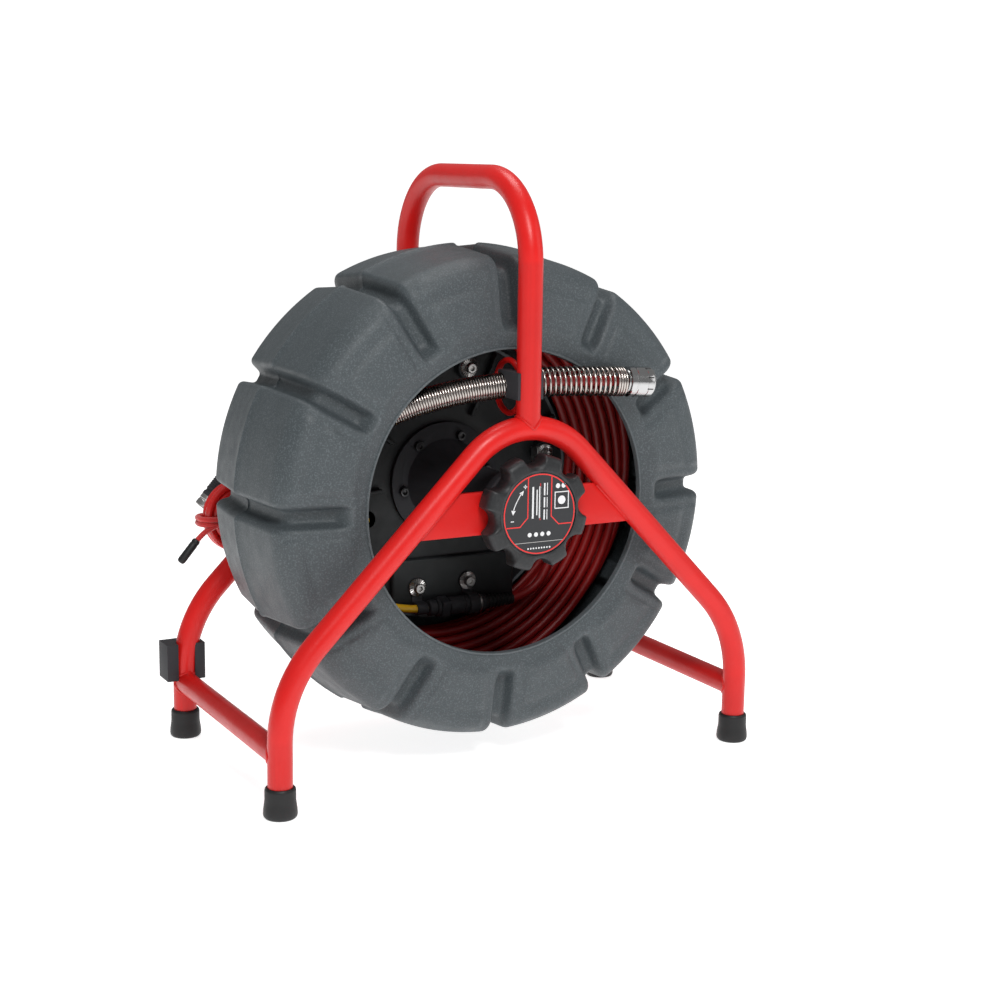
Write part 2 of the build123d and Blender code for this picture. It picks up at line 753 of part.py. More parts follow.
# ---------------------------------------------------------------- system cable hank, plug and tie
HANK_MID_X = (HANK_LEFT_X + HANK_RIGHT_X) / 2
HANK_SPAN = HANK_RIGHT_X - HANK_LEFT_X
with BuildPart() as hank:
    with BuildSketch(Plane.XZ.offset(-HANK_Y)):
        with Locations((HANK_MID_X, HANK_Z)):
            SlotCenterToCenter(HANK_SPAN, 2 * HANK_OUT_R)
            SlotCenterToCenter(HANK_SPAN, 2 * HANK_IN_R, mode=Mode.SUBTRACT)
    extrude(amount=-HANK_DEPTH)
save(hank.part, "system_cable_hank")

GLAND_TIP_X = GLAND_X - BOOT_LENGTH
ENTRY_POINTS = [
    (GLAND_TIP_X, BOOT_Y, GLAND_Z),
    (2, BOOT_Y, 261.4),
    (-12, BOOT_Y - 0.3, 259.8),
    (-26, BOOT_Y - 0.6, 259.6),
]
entry = cord(ENTRY_POINTS, SYSTEM_R, "system cable entry")
save((entry - hank.part - gland).solids().sort_by(SortBy.VOLUME)[-1], "system_cable_entry")

PLUG_R = 9.0
PLUG_TIP = (-223.0, 175.0, 237.5)
PLUG_DIR = (0.66, 0.0, 0.75)
PLUG_BODY = 42.0
RELIEF_END = 62.0
plug_step = Vector(PLUG_DIR).normalized()
relief_tip = Vector(PLUG_TIP) + plug_step * RELIEF_END
with BuildPart() as plug:
    for start, stop, radius in ((0, 17, PLUG_R), (17, 20, PLUG_R - 1), (20, PLUG_BODY, PLUG_R)):
        with BuildSketch(along(PLUG_TIP, relief_tip, start)):
            Circle(radius)
        extrude(amount=stop - start)
    with BuildSketch(along(PLUG_TIP, relief_tip, 0)):
        Circle(PLUG_R - 1.8)
    extrude(amount=9, mode=Mode.SUBTRACT)
save(plug.part, "system_plug")
with BuildPart() as plug_relief:
    with BuildSketch(along(PLUG_TIP, relief_tip, PLUG_BODY)):
        Circle(PLUG_R - 1.5)
    with BuildSketch(along(PLUG_TIP, relief_tip, RELIEF_END)):
        Circle(SYSTEM_R + 1)
    loft()
save(plug_relief.part, "plug_relief")

EXIT_POINTS = [
    tuple(relief_tip),
    (-170, 175, 298),
    (-155, 175, 309),
    (-136, 174, 310),
    (-120, 172, 300),
    (-110, 169, 284),
    (-104, 164, 270),
    (-99, 158, 258),
]
cord_exit = cord(EXIT_POINTS, SYSTEM_R, "plug lead")
save((cord_exit - hank.part - plug_relief.part).solids().sort_by(SortBy.VOLUME)[-1], "plug_lead")

# tie cord round the hank's left end, with one hanging tail and its tip
TIE_R = 3.0
TIE_Z = 224.0
TIE_GAP = 1.6
TIE_X0 = HANK_LEFT_X - HANK_OUT_R - TIE_R - TIE_GAP
TIE_X1 = HANK_LEFT_X - HANK_IN_R + TIE_R + TIE_GAP
TIE_Y0 = HANK_Y - TIE_R - TIE_GAP
TIE_Y1 = HANK_Y + HANK_DEPTH + TIE_R + TIE_GAP
with BuildPart() as tie_loop:
    with BuildLine() as loop_path:
        FilletPolyline(
            (TIE_X0, TIE_Y0, TIE_Z),
            (TIE_X1, TIE_Y0, TIE_Z),
            (TIE_X1, TIE_Y1, TIE_Z),
            (TIE_X0, TIE_Y1, TIE_Z),
            radius=7,
            close=True,
        )
    with BuildSketch(Plane(origin=loop_path.line @ 0, z_dir=loop_path.line % 0)):
        Circle(TIE_R)
    sweep(path=loop_path.line)
TAIL_POINTS = [
    (-216, TIE_Y0, TIE_Z),
    (-228, TIE_Y0, 219),
    (-238, TIE_Y0 + 1, 210),
    (-242, TIE_Y0 + 1, 206),
]
tie_tail = swept(TAIL_POINTS, [12, 12], TIE_R)
hank_tie = Compound([tie_loop.part, (tie_tail - tie_loop.part).solids().sort_by(SortBy.VOLUME)[-1]])
save(hank_tie, "hank_tie")
with BuildPart() as tie_tip:
    with BuildSketch(along(TAIL_POINTS[3], (-259, TIE_Y0 + 1, 186), -4)):
        Circle(4.4)
    extrude(amount=30)
    fillet(tie_tip.edges().filter_by(GeomType.CIRCLE), 1.5)
save(tie_tip.part - tie_tail, "tie_tip")

# hooks that the hank hangs from, welded on the rear arch and plate
HOOK_Z = HANK_Z + HANK_IN_R - HOOK_R - 0.2
HOOK_TIP_Y = 166.8
HOOK_RISE = 14.0
HOOK_BEND = 5.0
LEFT_HOOK_X = -141.0
RIGHT_HOOK_X = -62.0


def hook(x, start_y):
    """A rod that stands out to the rear and turns up at its end."""
    points = [
        (x, start_y, HOOK_Z),
        (x, HOOK_TIP_Y, HOOK_Z),
        (x, HOOK_TIP_Y, HOOK_Z + HOOK_RISE),
    ]
    return swept(points, HOOK_BEND, HOOK_R)


left_hook = hook(LEFT_HOOK_X, ARCH_Y) - rear_arch
save(left_hook.solids().sort_by(Axis.Y)[-1], "left_hook")
save(hook(RIGHT_HOOK_X, ARCH_Y + PLATE_T / 2), "right_hook")
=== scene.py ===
"""Studio scene of a drain inspection camera on its hand-wound cable reel.

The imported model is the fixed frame. Every visible piece is either one of its nodes with a
finished material or a detailed piece that is built round it here, in metres, in the same frame:
+X right along the front, +Y to the rear along the drum's axle, +Z up.
"""

import logging
import math
import random
from dataclasses import dataclass, field
from enum import Enum
from typing import Callable, Optional, Sequence

import bmesh
import bpy
from mathutils import Matrix, Vector
from mathutils.kdtree import KDTree

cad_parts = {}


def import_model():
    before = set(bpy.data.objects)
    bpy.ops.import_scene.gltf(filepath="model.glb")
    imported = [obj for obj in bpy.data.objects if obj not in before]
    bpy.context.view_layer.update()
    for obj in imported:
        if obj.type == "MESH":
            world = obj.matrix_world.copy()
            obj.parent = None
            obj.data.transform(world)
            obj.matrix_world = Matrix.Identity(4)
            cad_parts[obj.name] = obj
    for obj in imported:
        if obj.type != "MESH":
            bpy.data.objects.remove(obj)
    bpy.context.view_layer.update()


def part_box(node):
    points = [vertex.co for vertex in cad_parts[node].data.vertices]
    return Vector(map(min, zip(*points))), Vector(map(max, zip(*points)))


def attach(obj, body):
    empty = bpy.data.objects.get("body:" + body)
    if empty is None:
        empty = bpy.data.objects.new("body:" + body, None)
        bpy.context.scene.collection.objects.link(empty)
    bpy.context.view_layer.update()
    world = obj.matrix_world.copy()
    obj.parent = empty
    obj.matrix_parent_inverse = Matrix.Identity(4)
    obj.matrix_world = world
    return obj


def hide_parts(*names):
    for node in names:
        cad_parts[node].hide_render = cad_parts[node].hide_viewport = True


log = logging.getLogger("reel")

Colour = tuple[float, float, float]
Pair = tuple[float, float]
Triple = tuple[float, float, float]
MM = 0.001
FULL_TURN = 2 * math.pi
WELD_GAP = 1e-6
AXLE = Vector((0, 1, 0))
UP = Vector((0, 0, 1))
HEAD_ROUTE: tuple[Triple, ...] = ((115, -124, 392), (64, -120.5, 395))
SPRING_ROUTE: tuple[Triple, ...] = ((-54, -93, 386), (-106, -80, 373), (-150, -68, 350))


# ------------------------------------------------------------------ small geometry
def mm(*points: Triple) -> list[Vector]:
    """Turn points given in millimetres into vectors in metres."""
    return [Vector(point) * MM for point in points]


def middle_of(node: str) -> Vector:
    """Give the middle of a frame node's box."""
    low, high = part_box(node)
    return (low + high) / 2


def ease(value: float, low: float, high: float) -> float:
    """Rise smoothly from 0 at low to 1 at high.

    Args:
        value: Where to read the curve.
        low: Where it leaves 0.
        high: Where it reaches 1.

    Returns:
        A share from 0 to 1.
    """
    share = min(max((value - low) / (high - low), 0.0), 1.0)
    return share * share * (3 - 2 * share)


def rounded_corner(before: Vector, corner: Vector, after: Vector, radius: float,
                   steps: int) -> list[Vector]:
    """Give the points of an arc that replaces a corner.

    Args:
        before: A point on the side that leads to the corner.
        corner: The sharp corner.
        after: A point on the side that leaves it.
        radius: Radius of the arc.
        steps: Number of chords along it.

    Returns:
        The arc's points from the first side to the second.
    """
    inward = (before - corner).normalized()
    outward = (after - corner).normalized()
    half = inward.angle(outward) / 2
    reach = radius / math.tan(half)
    bisector = (inward + outward).normalized()
    centre = corner + bisector * (radius / math.sin(half))
    start = corner + inward * reach - centre
    stop = corner + outward * reach - centre
    sweep = start.angle(stop)
    arc = []
    for i in range(steps + 1):
        first, second = math.sin(sweep * (1 - i / steps)), math.sin(sweep * i / steps)
        arc.append(centre + (start * first + stop * second) / math.sin(sweep))
    return arc


def curve_line(points: Sequence[Vector]) -> list[Vector]:
    """Read the smooth line that a cord's control points give.

    Args:
        points: Control points of the route.

    Returns:
        Closely spaced points on the spline.
    """
    holder = Shop.spline("route_reader", points, 0.0)
    mesh = bpy.data.meshes.new_from_object(holder)
    line = [vertex.co.copy() for vertex in mesh.vertices]
    bpy.data.objects.remove(holder)
    bpy.data.meshes.remove(mesh)
    return line


class Track:
    """A line with its running length and frames that don't twist."""

    def __init__(self, line: Sequence[Vector]) -> None:
        """Measure the line and carry a side direction along it."""
        self.line = list(line)
        self.length = [0.0]
        for here, ahead in zip(self.line, self.line[1:]):
            self.length.append(self.length[-1] + (ahead - here).length)
        first = (self.line[1] - self.line[0]).normalized()
        side = first.cross(UP).normalized()
        self.steps: list[Vector] = []
        self.sides: list[Vector] = []
        for i in range(len(self.line)):
            low, high = max(i - 1, 0), min(i + 1, len(self.line) - 1)
            step = (self.line[high] - self.line[low]).normalized()
            side = (side - step * side.dot(step)).normalized()
            self.steps.append(step)
            self.sides.append(side)

    def at(self, distance: float) -> tuple[Vector, Vector, Vector, Vector]:
        """Read the line at a distance along it.

        Args:
            distance: Distance from its start.

        Returns:
            The place, and the forward, side and up directions there.
        """
        distance = min(max(distance, 0.0), self.length[-1])
        index = max(i for i, run in enumerate(self.length) if run <= distance + 1e-9)
        index = min(index, len(self.line) - 2)
        run = self.length[index + 1] - self.length[index]
        share = (distance - self.length[index]) / run if run else 0.0
        place = self.line[index].lerp(self.line[index + 1], share)
        step = self.steps[index].lerp(self.steps[index + 1], share).normalized()
        side = self.sides[index].lerp(self.sides[index + 1], share)
        side = (side - step * side.dot(step)).normalized()
        return place, step, side, step.cross(side)


# ------------------------------------------------------------------ workshop
class Shop:
    """The modelling steps that the pieces share."""

    @staticmethod
    def clear() -> None:
        """Leave edit mode and deselect everything."""
        if bpy.context.object and bpy.context.object.mode != "OBJECT":
            bpy.ops.object.mode_set(mode="OBJECT")
        bpy.ops.object.select_all(action="DESELECT")

    @staticmethod
    def pick(*pieces: bpy.types.Object) -> bpy.types.Object:
        """Select only these pieces and make the first one active."""
        Shop.clear()
        for piece in pieces:
            piece.select_set(True)
        bpy.context.view_layer.objects.active = pieces[0]
        return pieces[0]

    @staticmethod
    def settle(piece: bpy.types.Object, name: str) -> bpy.types.Object:
        """Name a piece and move its placing into its mesh."""
        Shop.pick(piece)
        bpy.ops.object.transform_apply(location=True, rotation=True, scale=True)
        piece.name = name
        piece.data.name = name
        return piece

    @staticmethod
    def apply(piece: bpy.types.Object, kind: str, **settings: object) -> bpy.types.Object:
        """Add a modifier, set it and apply it.

        Args:
            piece: The piece to work on.
            kind: Blender's name of the modifier.
            **settings: Values of the modifier.

        Returns:
            The same piece.
        """
        Shop.pick(piece)
        modifier = piece.modifiers.new(kind.title(), kind)
        for key, value in settings.items():
            setattr(modifier, key, value)
        bpy.ops.object.modifier_apply(modifier=modifier.name)
        return piece

    @staticmethod
    def bevelled(piece: bpy.types.Object, width: float, segments: int = 3) -> bpy.types.Object:
        """Round every sharp edge of a piece."""
        return Shop.apply(piece, "BEVEL", width=width, segments=segments, limit_method="ANGLE",
                          angle_limit=math.radians(32), use_clamp_overlap=True)

    @staticmethod
    def smooth(piece: bpy.types.Object, angle: float = 35) -> bpy.types.Object:
        """Shade a piece smooth, apart from edges sharper than an angle in degrees."""
        Shop.pick(piece)
        bpy.ops.object.shade_smooth_by_angle(angle=math.radians(angle))
        return piece

    @staticmethod
    def face_out(piece: bpy.types.Object) -> bpy.types.Object:
        """Merge doubled vertices and point all faces outwards."""
        Shop.pick(piece)
        bpy.ops.object.mode_set(mode="EDIT")
        bpy.ops.mesh.select_all(action="SELECT")
        bpy.ops.mesh.remove_doubles(threshold=WELD_GAP)
        bpy.ops.mesh.dissolve_degenerate(threshold=WELD_GAP)
        bpy.ops.mesh.select_all(action="SELECT")
        bpy.ops.mesh.normals_make_consistent(inside=False)
        bpy.ops.object.mode_set(mode="OBJECT")
        return piece

    @staticmethod
    def spun(name: str, outline: Sequence[Pair], origin: Vector, axis: Vector = AXLE,
             steps: int = 48) -> bpy.types.Object:
        """Turn an outline about an axis, as on a lathe.

        An outline that starts on the axis also ends there. Any other is a closed ring.

        Args:
            name: Name of the piece.
            outline: Points as (radius, distance along the axis).
            origin: Where the distances start.
            axis: Direction of the axis.
            steps: Facets all the way round.

        Returns:
            The turned piece.
        """
        axis = axis.normalized()
        side = axis.orthogonal().normalized()
        if axis == AXLE:
            side = Vector((1, 0, 0))
        Shop.clear()
        bpy.ops.mesh.primitive_circle_add(vertices=len(outline), fill_type="NOTHING")
        piece = bpy.context.object
        for vertex, (radius, height) in zip(piece.data.vertices, outline):
            vertex.co = origin + side * radius + axis * height
        bpy.ops.object.mode_set(mode="EDIT")
        if not outline[0][0]:
            shape = bmesh.from_edit_mesh(piece.data)
            shape.verts.ensure_lookup_table()
            ends = {shape.verts[0], shape.verts[len(outline) - 1]}
            for edge in shape.edges:
                edge.select_set(set(edge.verts) == ends)
            bpy.ops.mesh.delete(type="EDGE")
        bpy.ops.mesh.select_all(action="SELECT")
        bpy.ops.mesh.spin(steps=steps, angle=FULL_TURN, center=origin, axis=axis,
                          use_auto_merge=True)
        bpy.ops.object.mode_set(mode="OBJECT")
        Shop.face_out(piece)
        return Shop.settle(piece, name)

    @staticmethod
    def rod(name: str, start: Vector, end: Vector, radius: float, edge: float) -> bpy.types.Object:
        """Make a straight rod between two points.

        Args:
            name: Name of the piece.
            start: Centre of its first end.
            end: Centre of its second end.
            radius: Its radius.
            edge: Width of the rounded rims.

        Returns:
            The rod.
        """
        Shop.clear()
        turn = UP.rotation_difference(end - start).to_euler()
        bpy.ops.mesh.primitive_cone_add(vertices=12, radius1=radius, radius2=radius,
                                        depth=(end - start).length, location=(start + end) / 2,
                                        rotation=turn)
        return Shop.bevelled(Shop.settle(bpy.context.object, name), edge)

    @staticmethod
    def block(name: str, low: Vector, high: Vector, edge: float) -> bpy.types.Object:
        """Make a block with rounded edges.

        Args:
            name: Name of the piece.
            low: Its lowest corner.
            high: Its highest corner.
            edge: Width of the rounding.

        Returns:
            The block.
        """
        Shop.clear()
        bpy.ops.mesh.primitive_cube_add(size=1, location=(low + high) / 2)
        piece = bpy.context.object
        piece.scale = high - low
        return Shop.bevelled(Shop.settle(piece, name), edge)

    @staticmethod
    def curve(name: str, kind: str, points: Sequence[Vector], radius: float,
              sides: int) -> bpy.types.Object:
        """Make a round cord along points.

        Args:
            name: Name of the piece.
            kind: Blender's name of the line between the points.
            points: Points of the line.
            radius: Radius of the cord.
            sides: Blender's bevel resolution.

        Returns:
            The curve object.
        """
        curve = bpy.data.curves.new(name, "CURVE")
        curve.dimensions = "3D"
        curve.bevel_depth = radius
        curve.bevel_resolution = sides
        curve.use_fill_caps = True
        spline = curve.splines.new(kind)
        spline.points.add(len(points) - 1)
        for slot, point in zip(spline.points, points):
            slot.co = (*point, 1.0)
        piece = bpy.data.objects.new(name, curve)
        bpy.context.scene.collection.objects.link(piece)
        return piece

    @staticmethod
    def spline(name: str, points: Sequence[Vector], radius: float, sides: int = 3,
               looped: bool = False, fine: int = 6) -> bpy.types.Object:
        """Make a round cord on a NURBS line.

        Args:
            name: Name of the piece.
            points: Control points of the line.
            radius: Radius of the cord.
            sides: Blender's bevel resolution.
            looped: Whether the line closes on itself.
            fine: Steps between two control points.

        Returns:
            The curve object.
        """
        piece = Shop.curve(name, "NURBS", points, radius, sides)
        piece.data.resolution_u = fine
        spline = piece.data.splines[0]
        spline.order_u = 3
        spline.use_endpoint_u = not looped
        spline.use_cyclic_u = looped
        return piece

    @staticmethod
    def meshed(name: str, *curves: bpy.types.Object) -> bpy.types.Object:
        """Turn curves into one mesh piece."""
        Shop.pick(*curves)
        bpy.ops.object.convert(target="MESH")
        return Shop.joined(name, curves)

    @staticmethod
    def joined(name: str, pieces: Sequence[bpy.types.Object]) -> bpy.types.Object:
        """Join several pieces into one.

        Args:
            name: Name of the whole.
            pieces: What is joined.

        Returns:
            The whole.
        """
        whole = Shop.pick(*pieces)
        if len(pieces) > 1:
            bpy.ops.object.join()
        whole.name = name
        whole.data.name = name
        return whole

    @staticmethod
    def prism(name: str, outline: Sequence[Pair], front: float, back: float) -> bpy.types.Object:
        """Make a flat piece from an outline in the X and Z plane.

        Args:
            name: Name of the piece.
            outline: Corners as (x, z).
            front: Its front plane along Y.
            back: Its back plane along Y.

        Returns:
            The piece.
        """
        Shop.clear()
        bpy.ops.mesh.primitive_circle_add(vertices=len(outline), fill_type="NGON")
        piece = bpy.context.object
        for vertex, (x, z) in zip(piece.data.vertices, outline):
            vertex.co = (x, front, z)
        bpy.ops.object.mode_set(mode="EDIT")
        bpy.ops.mesh.select_all(action="SELECT")
        deep = (0, back - front, 0)
        bpy.ops.mesh.extrude_region_move(TRANSFORM_OT_translate={"value": deep})
        bpy.ops.object.mode_set(mode="OBJECT")
        Shop.face_out(piece)
        return Shop.settle(piece, name)

    @staticmethod
    def stroke(name: str, points: Sequence[Pair], width: float, front: float,
               back: float) -> bpy.types.Object:
        """Make a flat printed line with mitred corners in the X and Z plane.

        Args:
            name: Name of the piece.
            points: Points of the line as (x, z).
            width: Width of the line.
            front: Its front plane along Y.
            back: Its back plane along Y.

        Returns:
            The piece.
        """
        line = [Vector(point) for point in points]
        sides = []
        for i, here in enumerate(line):
            before = (here - line[i - 1] if i else line[1] - line[0]).normalized()
            after = (line[i + 1] - here).normalized() if i < len(line) - 1 else before
            middle = (before + after).normalized()
            across = Vector((-middle.y, middle.x)) * (width / 2 / max(middle.dot(before), 0.3))
            sides.append((here + across, here - across))
        outline = [left for left, _ in sides] + [right for _, right in reversed(sides)]
        return Shop.prism(name, [(p.x, p.y) for p in outline], front, back)

    @staticmethod
    def turned_round(piece: bpy.types.Object, angle: float, origin: Vector,
                     axis: Vector) -> bpy.types.Object:
        """Turn a piece's mesh about an axis.

        Args:
            piece: The piece to turn.
            angle: Angle in radians.
            origin: A point on the axis.
            axis: Direction of the axis.

        Returns:
            The same piece.
        """
        turn = Matrix.Rotation(angle, 4, axis)
        piece.data.transform(Matrix.Translation(origin) @ turn @ Matrix.Translation(-origin))
        return piece

    @staticmethod
    def softened(node: str, name: str, width: float, segments: int) -> bpy.types.Object:
        """Copy a node of the frame and round its edges.

        Args:
            node: The frame's node.
            name: Name of the new piece.
            width: Width of the rounding.
            segments: Facets across the rounding.

        Returns:
            The new piece.
        """
        source = bpy.data.objects[node]
        piece = bpy.data.objects.new(name, source.data.copy())
        bpy.context.scene.collection.objects.link(piece)
        Shop.pick(piece)
        bpy.ops.object.mode_set(mode="EDIT")
        bpy.ops.mesh.select_all(action="SELECT")
        bpy.ops.mesh.remove_doubles(threshold=WELD_GAP)
        bpy.ops.mesh.customdata_custom_splitnormals_clear()
        bpy.ops.mesh.dissolve_limited(angle_limit=math.radians(2))
        bpy.ops.object.mode_set(mode="OBJECT")
        Shop.bevelled(piece, width, segments)
        return piece


# ------------------------------------------------------------------ finishes
class Board:
    """The shader nodes of one material."""

    def __init__(self, name: str) -> None:
        """Start a material with its principled shader and object coordinates."""
        self.material = bpy.data.materials.new(name)
        self.material.use_nodes = True
        self.nodes = self.material.node_tree.nodes
        self.links = self.material.node_tree.links
        self.shader = self.nodes["Principled BSDF"]
        self.place = self.nodes.new("ShaderNodeTexCoord").outputs["Object"]

    def set(self, **values: object) -> None:
        """Set the shader's own sockets; underscores stand for spaces."""
        for key, value in values.items():
            self.shader.inputs[key.replace("_", " ")].default_value = value

    def noise(self, scale: float, detail: float = 3.0,
              stretch: Triple = (1, 1, 1)) -> bpy.types.NodeSocket:
        """Add a noise pattern.

        Args:
            scale: Lumps in each metre.
            detail: Octaves.
            stretch: Scale along each axis.

        Returns:
            The socket with the pattern's value.
        """
        mapping = self.nodes.new("ShaderNodeMapping")
        mapping.inputs["Scale"].default_value = stretch
        self.links.new(self.place, mapping.inputs["Vector"])
        texture = self.nodes.new("ShaderNodeTexNoise")
        texture.inputs["Scale"].default_value = scale
        texture.inputs["Detail"].default_value = detail
        self.links.new(mapping.outputs["Vector"], texture.inputs["Vector"])
        return texture.outputs["Fac"]

    def cells(self, scale: float) -> bpy.types.NodeSocket:
        """Add a pattern of rounded grains and give its distance socket."""
        texture = self.nodes.new("ShaderNodeTexVoronoi")
        texture.inputs["Scale"].default_value = scale
        self.links.new(self.place, texture.inputs["Vector"])
        return texture.outputs["Distance"]

    def spread(self, value: bpy.types.NodeSocket, source: Pair,
               target: Pair) -> bpy.types.NodeSocket:
        """Map a value from one range to another.

        Args:
            value: The socket to read.
            source: Range of its values.
            target: Range that it becomes.

        Returns:
            The socket with the mapped value.
        """
        node = self.nodes.new("ShaderNodeMapRange")
        for key, number in zip(("From Min", "From Max", "To Min", "To Max"), (*source, *target)):
            node.inputs[key].default_value = number
        self.links.new(value, node.inputs["Value"])
        return node.outputs["Result"]

    def blend(self, share: bpy.types.NodeSocket, first: Colour,
              second: Colour) -> bpy.types.NodeSocket:
        """Mix two colours.

        Args:
            share: Socket with the second colour's share.
            first: Colour at a share of 0.
            second: Colour at a share of 1.

        Returns:
            The socket with the mixed colour.
        """
        node = self.nodes.new("ShaderNodeMix")
        node.data_type = "RGBA"
        self.links.new(share, node.inputs["Factor"])
        node.inputs["A"].default_value = (*first, 1)
        node.inputs["B"].default_value = (*second, 1)
        return node.outputs["Result"]

    def bump(self, height: bpy.types.NodeSocket, strength: float, depth: float) -> None:
        """Lay a bump over the ones that are there.

        Args:
            height: Socket with the relief.
            strength: Its strength.
            depth: Its depth in metres.
        """
        node = self.nodes.new("ShaderNodeBump")
        node.inputs["Strength"].default_value = strength
        node.inputs["Distance"].default_value = depth
        self.links.new(height, node.inputs["Height"])
        before = self.shader.inputs["Normal"].links
        if before:
            self.links.new(before[0].from_socket, node.inputs["Normal"])
        self.links.new(node.outputs["Normal"], self.shader.inputs["Normal"])

    def feed(self, socket: bpy.types.NodeSocket, name: str) -> None:
        """Join a socket to one of the shader's inputs."""
        self.links.new(socket, self.shader.inputs[name])

    def over(self, share: bpy.types.NodeSocket, colour: Colour) -> None:
        """Lay a colour over the base colour, by a share."""
        mixed = self.blend(share, colour, colour)
        base = self.shader.inputs["Base Color"].links[0].from_socket
        self.links.new(base, mixed.node.inputs["A"])
        self.feed(mixed, "Base Color")

    def convex_edge_share(self) -> bpy.types.NodeSocket:
        """Give a share that rises on convex edges."""
        geometry = self.nodes.new("ShaderNodeNewGeometry")
        return self.spread(geometry.outputs["Pointiness"], (0.52, 0.62), (0.0, 0.55))


@dataclass(frozen=True)
class Finish:
    """A material for the record's slot of the same surface."""

    name: str
    slot: str
    colour: Colour
    shade: Colour
    roughness: Pair = (0.4, 0.55)

    def dress(self, board: Board) -> None:
        """Add the nodes that are this finish's own."""

    def make(self) -> bpy.types.Material:
        """Build the material, or give the one that is built already."""
        ready = bpy.data.materials.get(self.name)
        if ready:
            return ready
        board = Board(self.name)
        board.feed(board.blend(board.noise(24), self.shade, self.colour), "Base Color")
        board.feed(board.spread(board.noise(60, 5), (0.3, 0.7), self.roughness), "Roughness")
        self.dress(board)
        return board.material


@dataclass(frozen=True)
class PowderCoat(Finish):
    """Baked paint on steel tube, with a faint orange peel."""

    peel: float = 420.0

    def dress(self, board: Board) -> None:
        """Add a clear gloss, the peel and small scuffs."""
        board.set(Coat_Weight=0.12, Coat_Roughness=0.25, Specular_IOR_Level=0.3)
        board.over(board.spread(board.noise(14, 6), (0.6, 0.78), (0.0, 0.35)), self.shade)
        board.over(board.convex_edge_share(), tuple(channel * 0.55 for channel in self.colour))
        board.bump(board.noise(self.peel, 2), 0.22, 0.0006)
        board.bump(board.noise(35, 4), 0.12, 0.001)


@dataclass(frozen=True)
class Moulding(Finish):
    """Moulded plastic or rubber with a fine grain."""

    grain: float = 900.0
    depth: float = 0.0003
    strength: float = 0.35
    speckle: Optional[Colour] = None
    worn: Optional[Colour] = None

    def dress(self, board: Board) -> None:
        """Add the grain of the mould, its pale specks, lighter edges that are partly rubbed wear
        and partly a painted highlight, and a broad unevenness.
        """
        board.set(Specular_IOR_Level=0.38)
        if self.speckle:
            specks = board.noise(self.grain * 0.5, 2)
            board.over(board.spread(specks, (0.5, 0.68), (0.0, 0.8)), self.speckle)
        # Lighter colour on convex edges: partly rubbed wear, partly a painted highlight where edges
        # catch the light.
        if self.worn:
            board.over(board.convex_edge_share(), self.worn)
        board.bump(board.noise(self.grain, 3), self.strength, self.depth)
        board.bump(board.noise(self.grain / 20, 2), 0.15, 0.0012)


@dataclass(frozen=True)
class Metal(Finish):
    """Bare or plated metal."""

    scratch: Triple = (1.0, 1.0, 12.0)

    def dress(self, board: Board) -> None:
        """Make it metallic and add fine marks."""
        board.set(Metallic=1.0)
        board.bump(board.noise(500, 4, self.scratch), 0.08, 0.0003)


@dataclass(frozen=True)
class Jacket(Finish):
    """Smooth extruded jacket of a cable."""

    gloss: float = 0.3

    def dress(self, board: Board) -> None:
        """Add a thin gloss and the ripple of a wound cable."""
        board.set(Coat_Weight=self.gloss, Coat_Roughness=0.2)
        board.bump(board.noise(160, 3), 0.15, 0.0006)


@dataclass(frozen=True)
class Braid(Finish):
    """Woven cord."""

    def dress(self, board: Board) -> None:
        """Add a woven relief and a soft sheen."""
        board.set(Sheen_Weight=0.4, Sheen_Roughness=0.5)
        board.bump(board.cells(900), 0.7, 0.0006)


@dataclass(frozen=True)
class Clear(Finish):
    """Clear window material."""

    def dress(self, board: Board) -> None:
        """Let light through."""
        board.set(Transmission_Weight=1.0, IOR=1.6)


@dataclass(frozen=True)
class Lamp(Finish):
    """Small pale lamps in a dark ring."""

    def dress(self, board: Board) -> None:
        """Give it a weak glow."""
        board.set(Emission_Color=(1.0, 0.96, 0.85, 1), Emission_Strength=0.15)


RED_PAINT = PowderCoat("red_powder_coat", "red_paint", (0.7, 0.011, 0.009), (0.55, 0.008, 0.007),
                       (0.32, 0.44))
# Its much lighter edge colour is partly burnished wear and partly a painted highlight, as on the
# mouth's lip.
DRUM_GREY = Moulding("grey_moulded_drum", "drum_plastic", (0.06, 0.072, 0.078),
                     (0.047, 0.057, 0.062),
                     (0.42, 0.58), grain=1300, depth=0.0005, strength=0.55,
                     speckle=(0.1, 0.117, 0.126),
                     worn=(0.2, 0.225, 0.235))
# The drum's own plastic again, made far darker: painted shade for the web deep inside the drum.
WEB_GREY_PAINTED_SHADE = Moulding("grey_moulded_web_painted_shade", "drum_plastic", (0.0095, 0.0112, 0.0122),
                    (0.007, 0.0082, 0.009),
                    (0.42, 0.58), grain=1300, depth=0.0004, strength=0.5, worn=(0.03, 0.034, 0.036))
FOOT_BLACK = Moulding("black_foot_rubber", "foot_rubber", (0.007, 0.007, 0.0075),
                      (0.012, 0.012, 0.0125),
                      (0.42, 0.6), grain=700, worn=(0.016, 0.016, 0.017))
BLACK_PLASTIC = Moulding("black_plastic", "black_plastic", (0.006, 0.0062, 0.0068),
                         (0.01, 0.01, 0.0105),
                         (0.28, 0.44), grain=1200, strength=0.2, worn=(0.022, 0.022, 0.023))
SOFT_BLACK = Moulding("soft_black_rubber", "black_rubber", (0.008, 0.008, 0.0085),
                      (0.014, 0.014, 0.015),
                      (0.36, 0.55), grain=800, worn=(0.018, 0.018, 0.019))
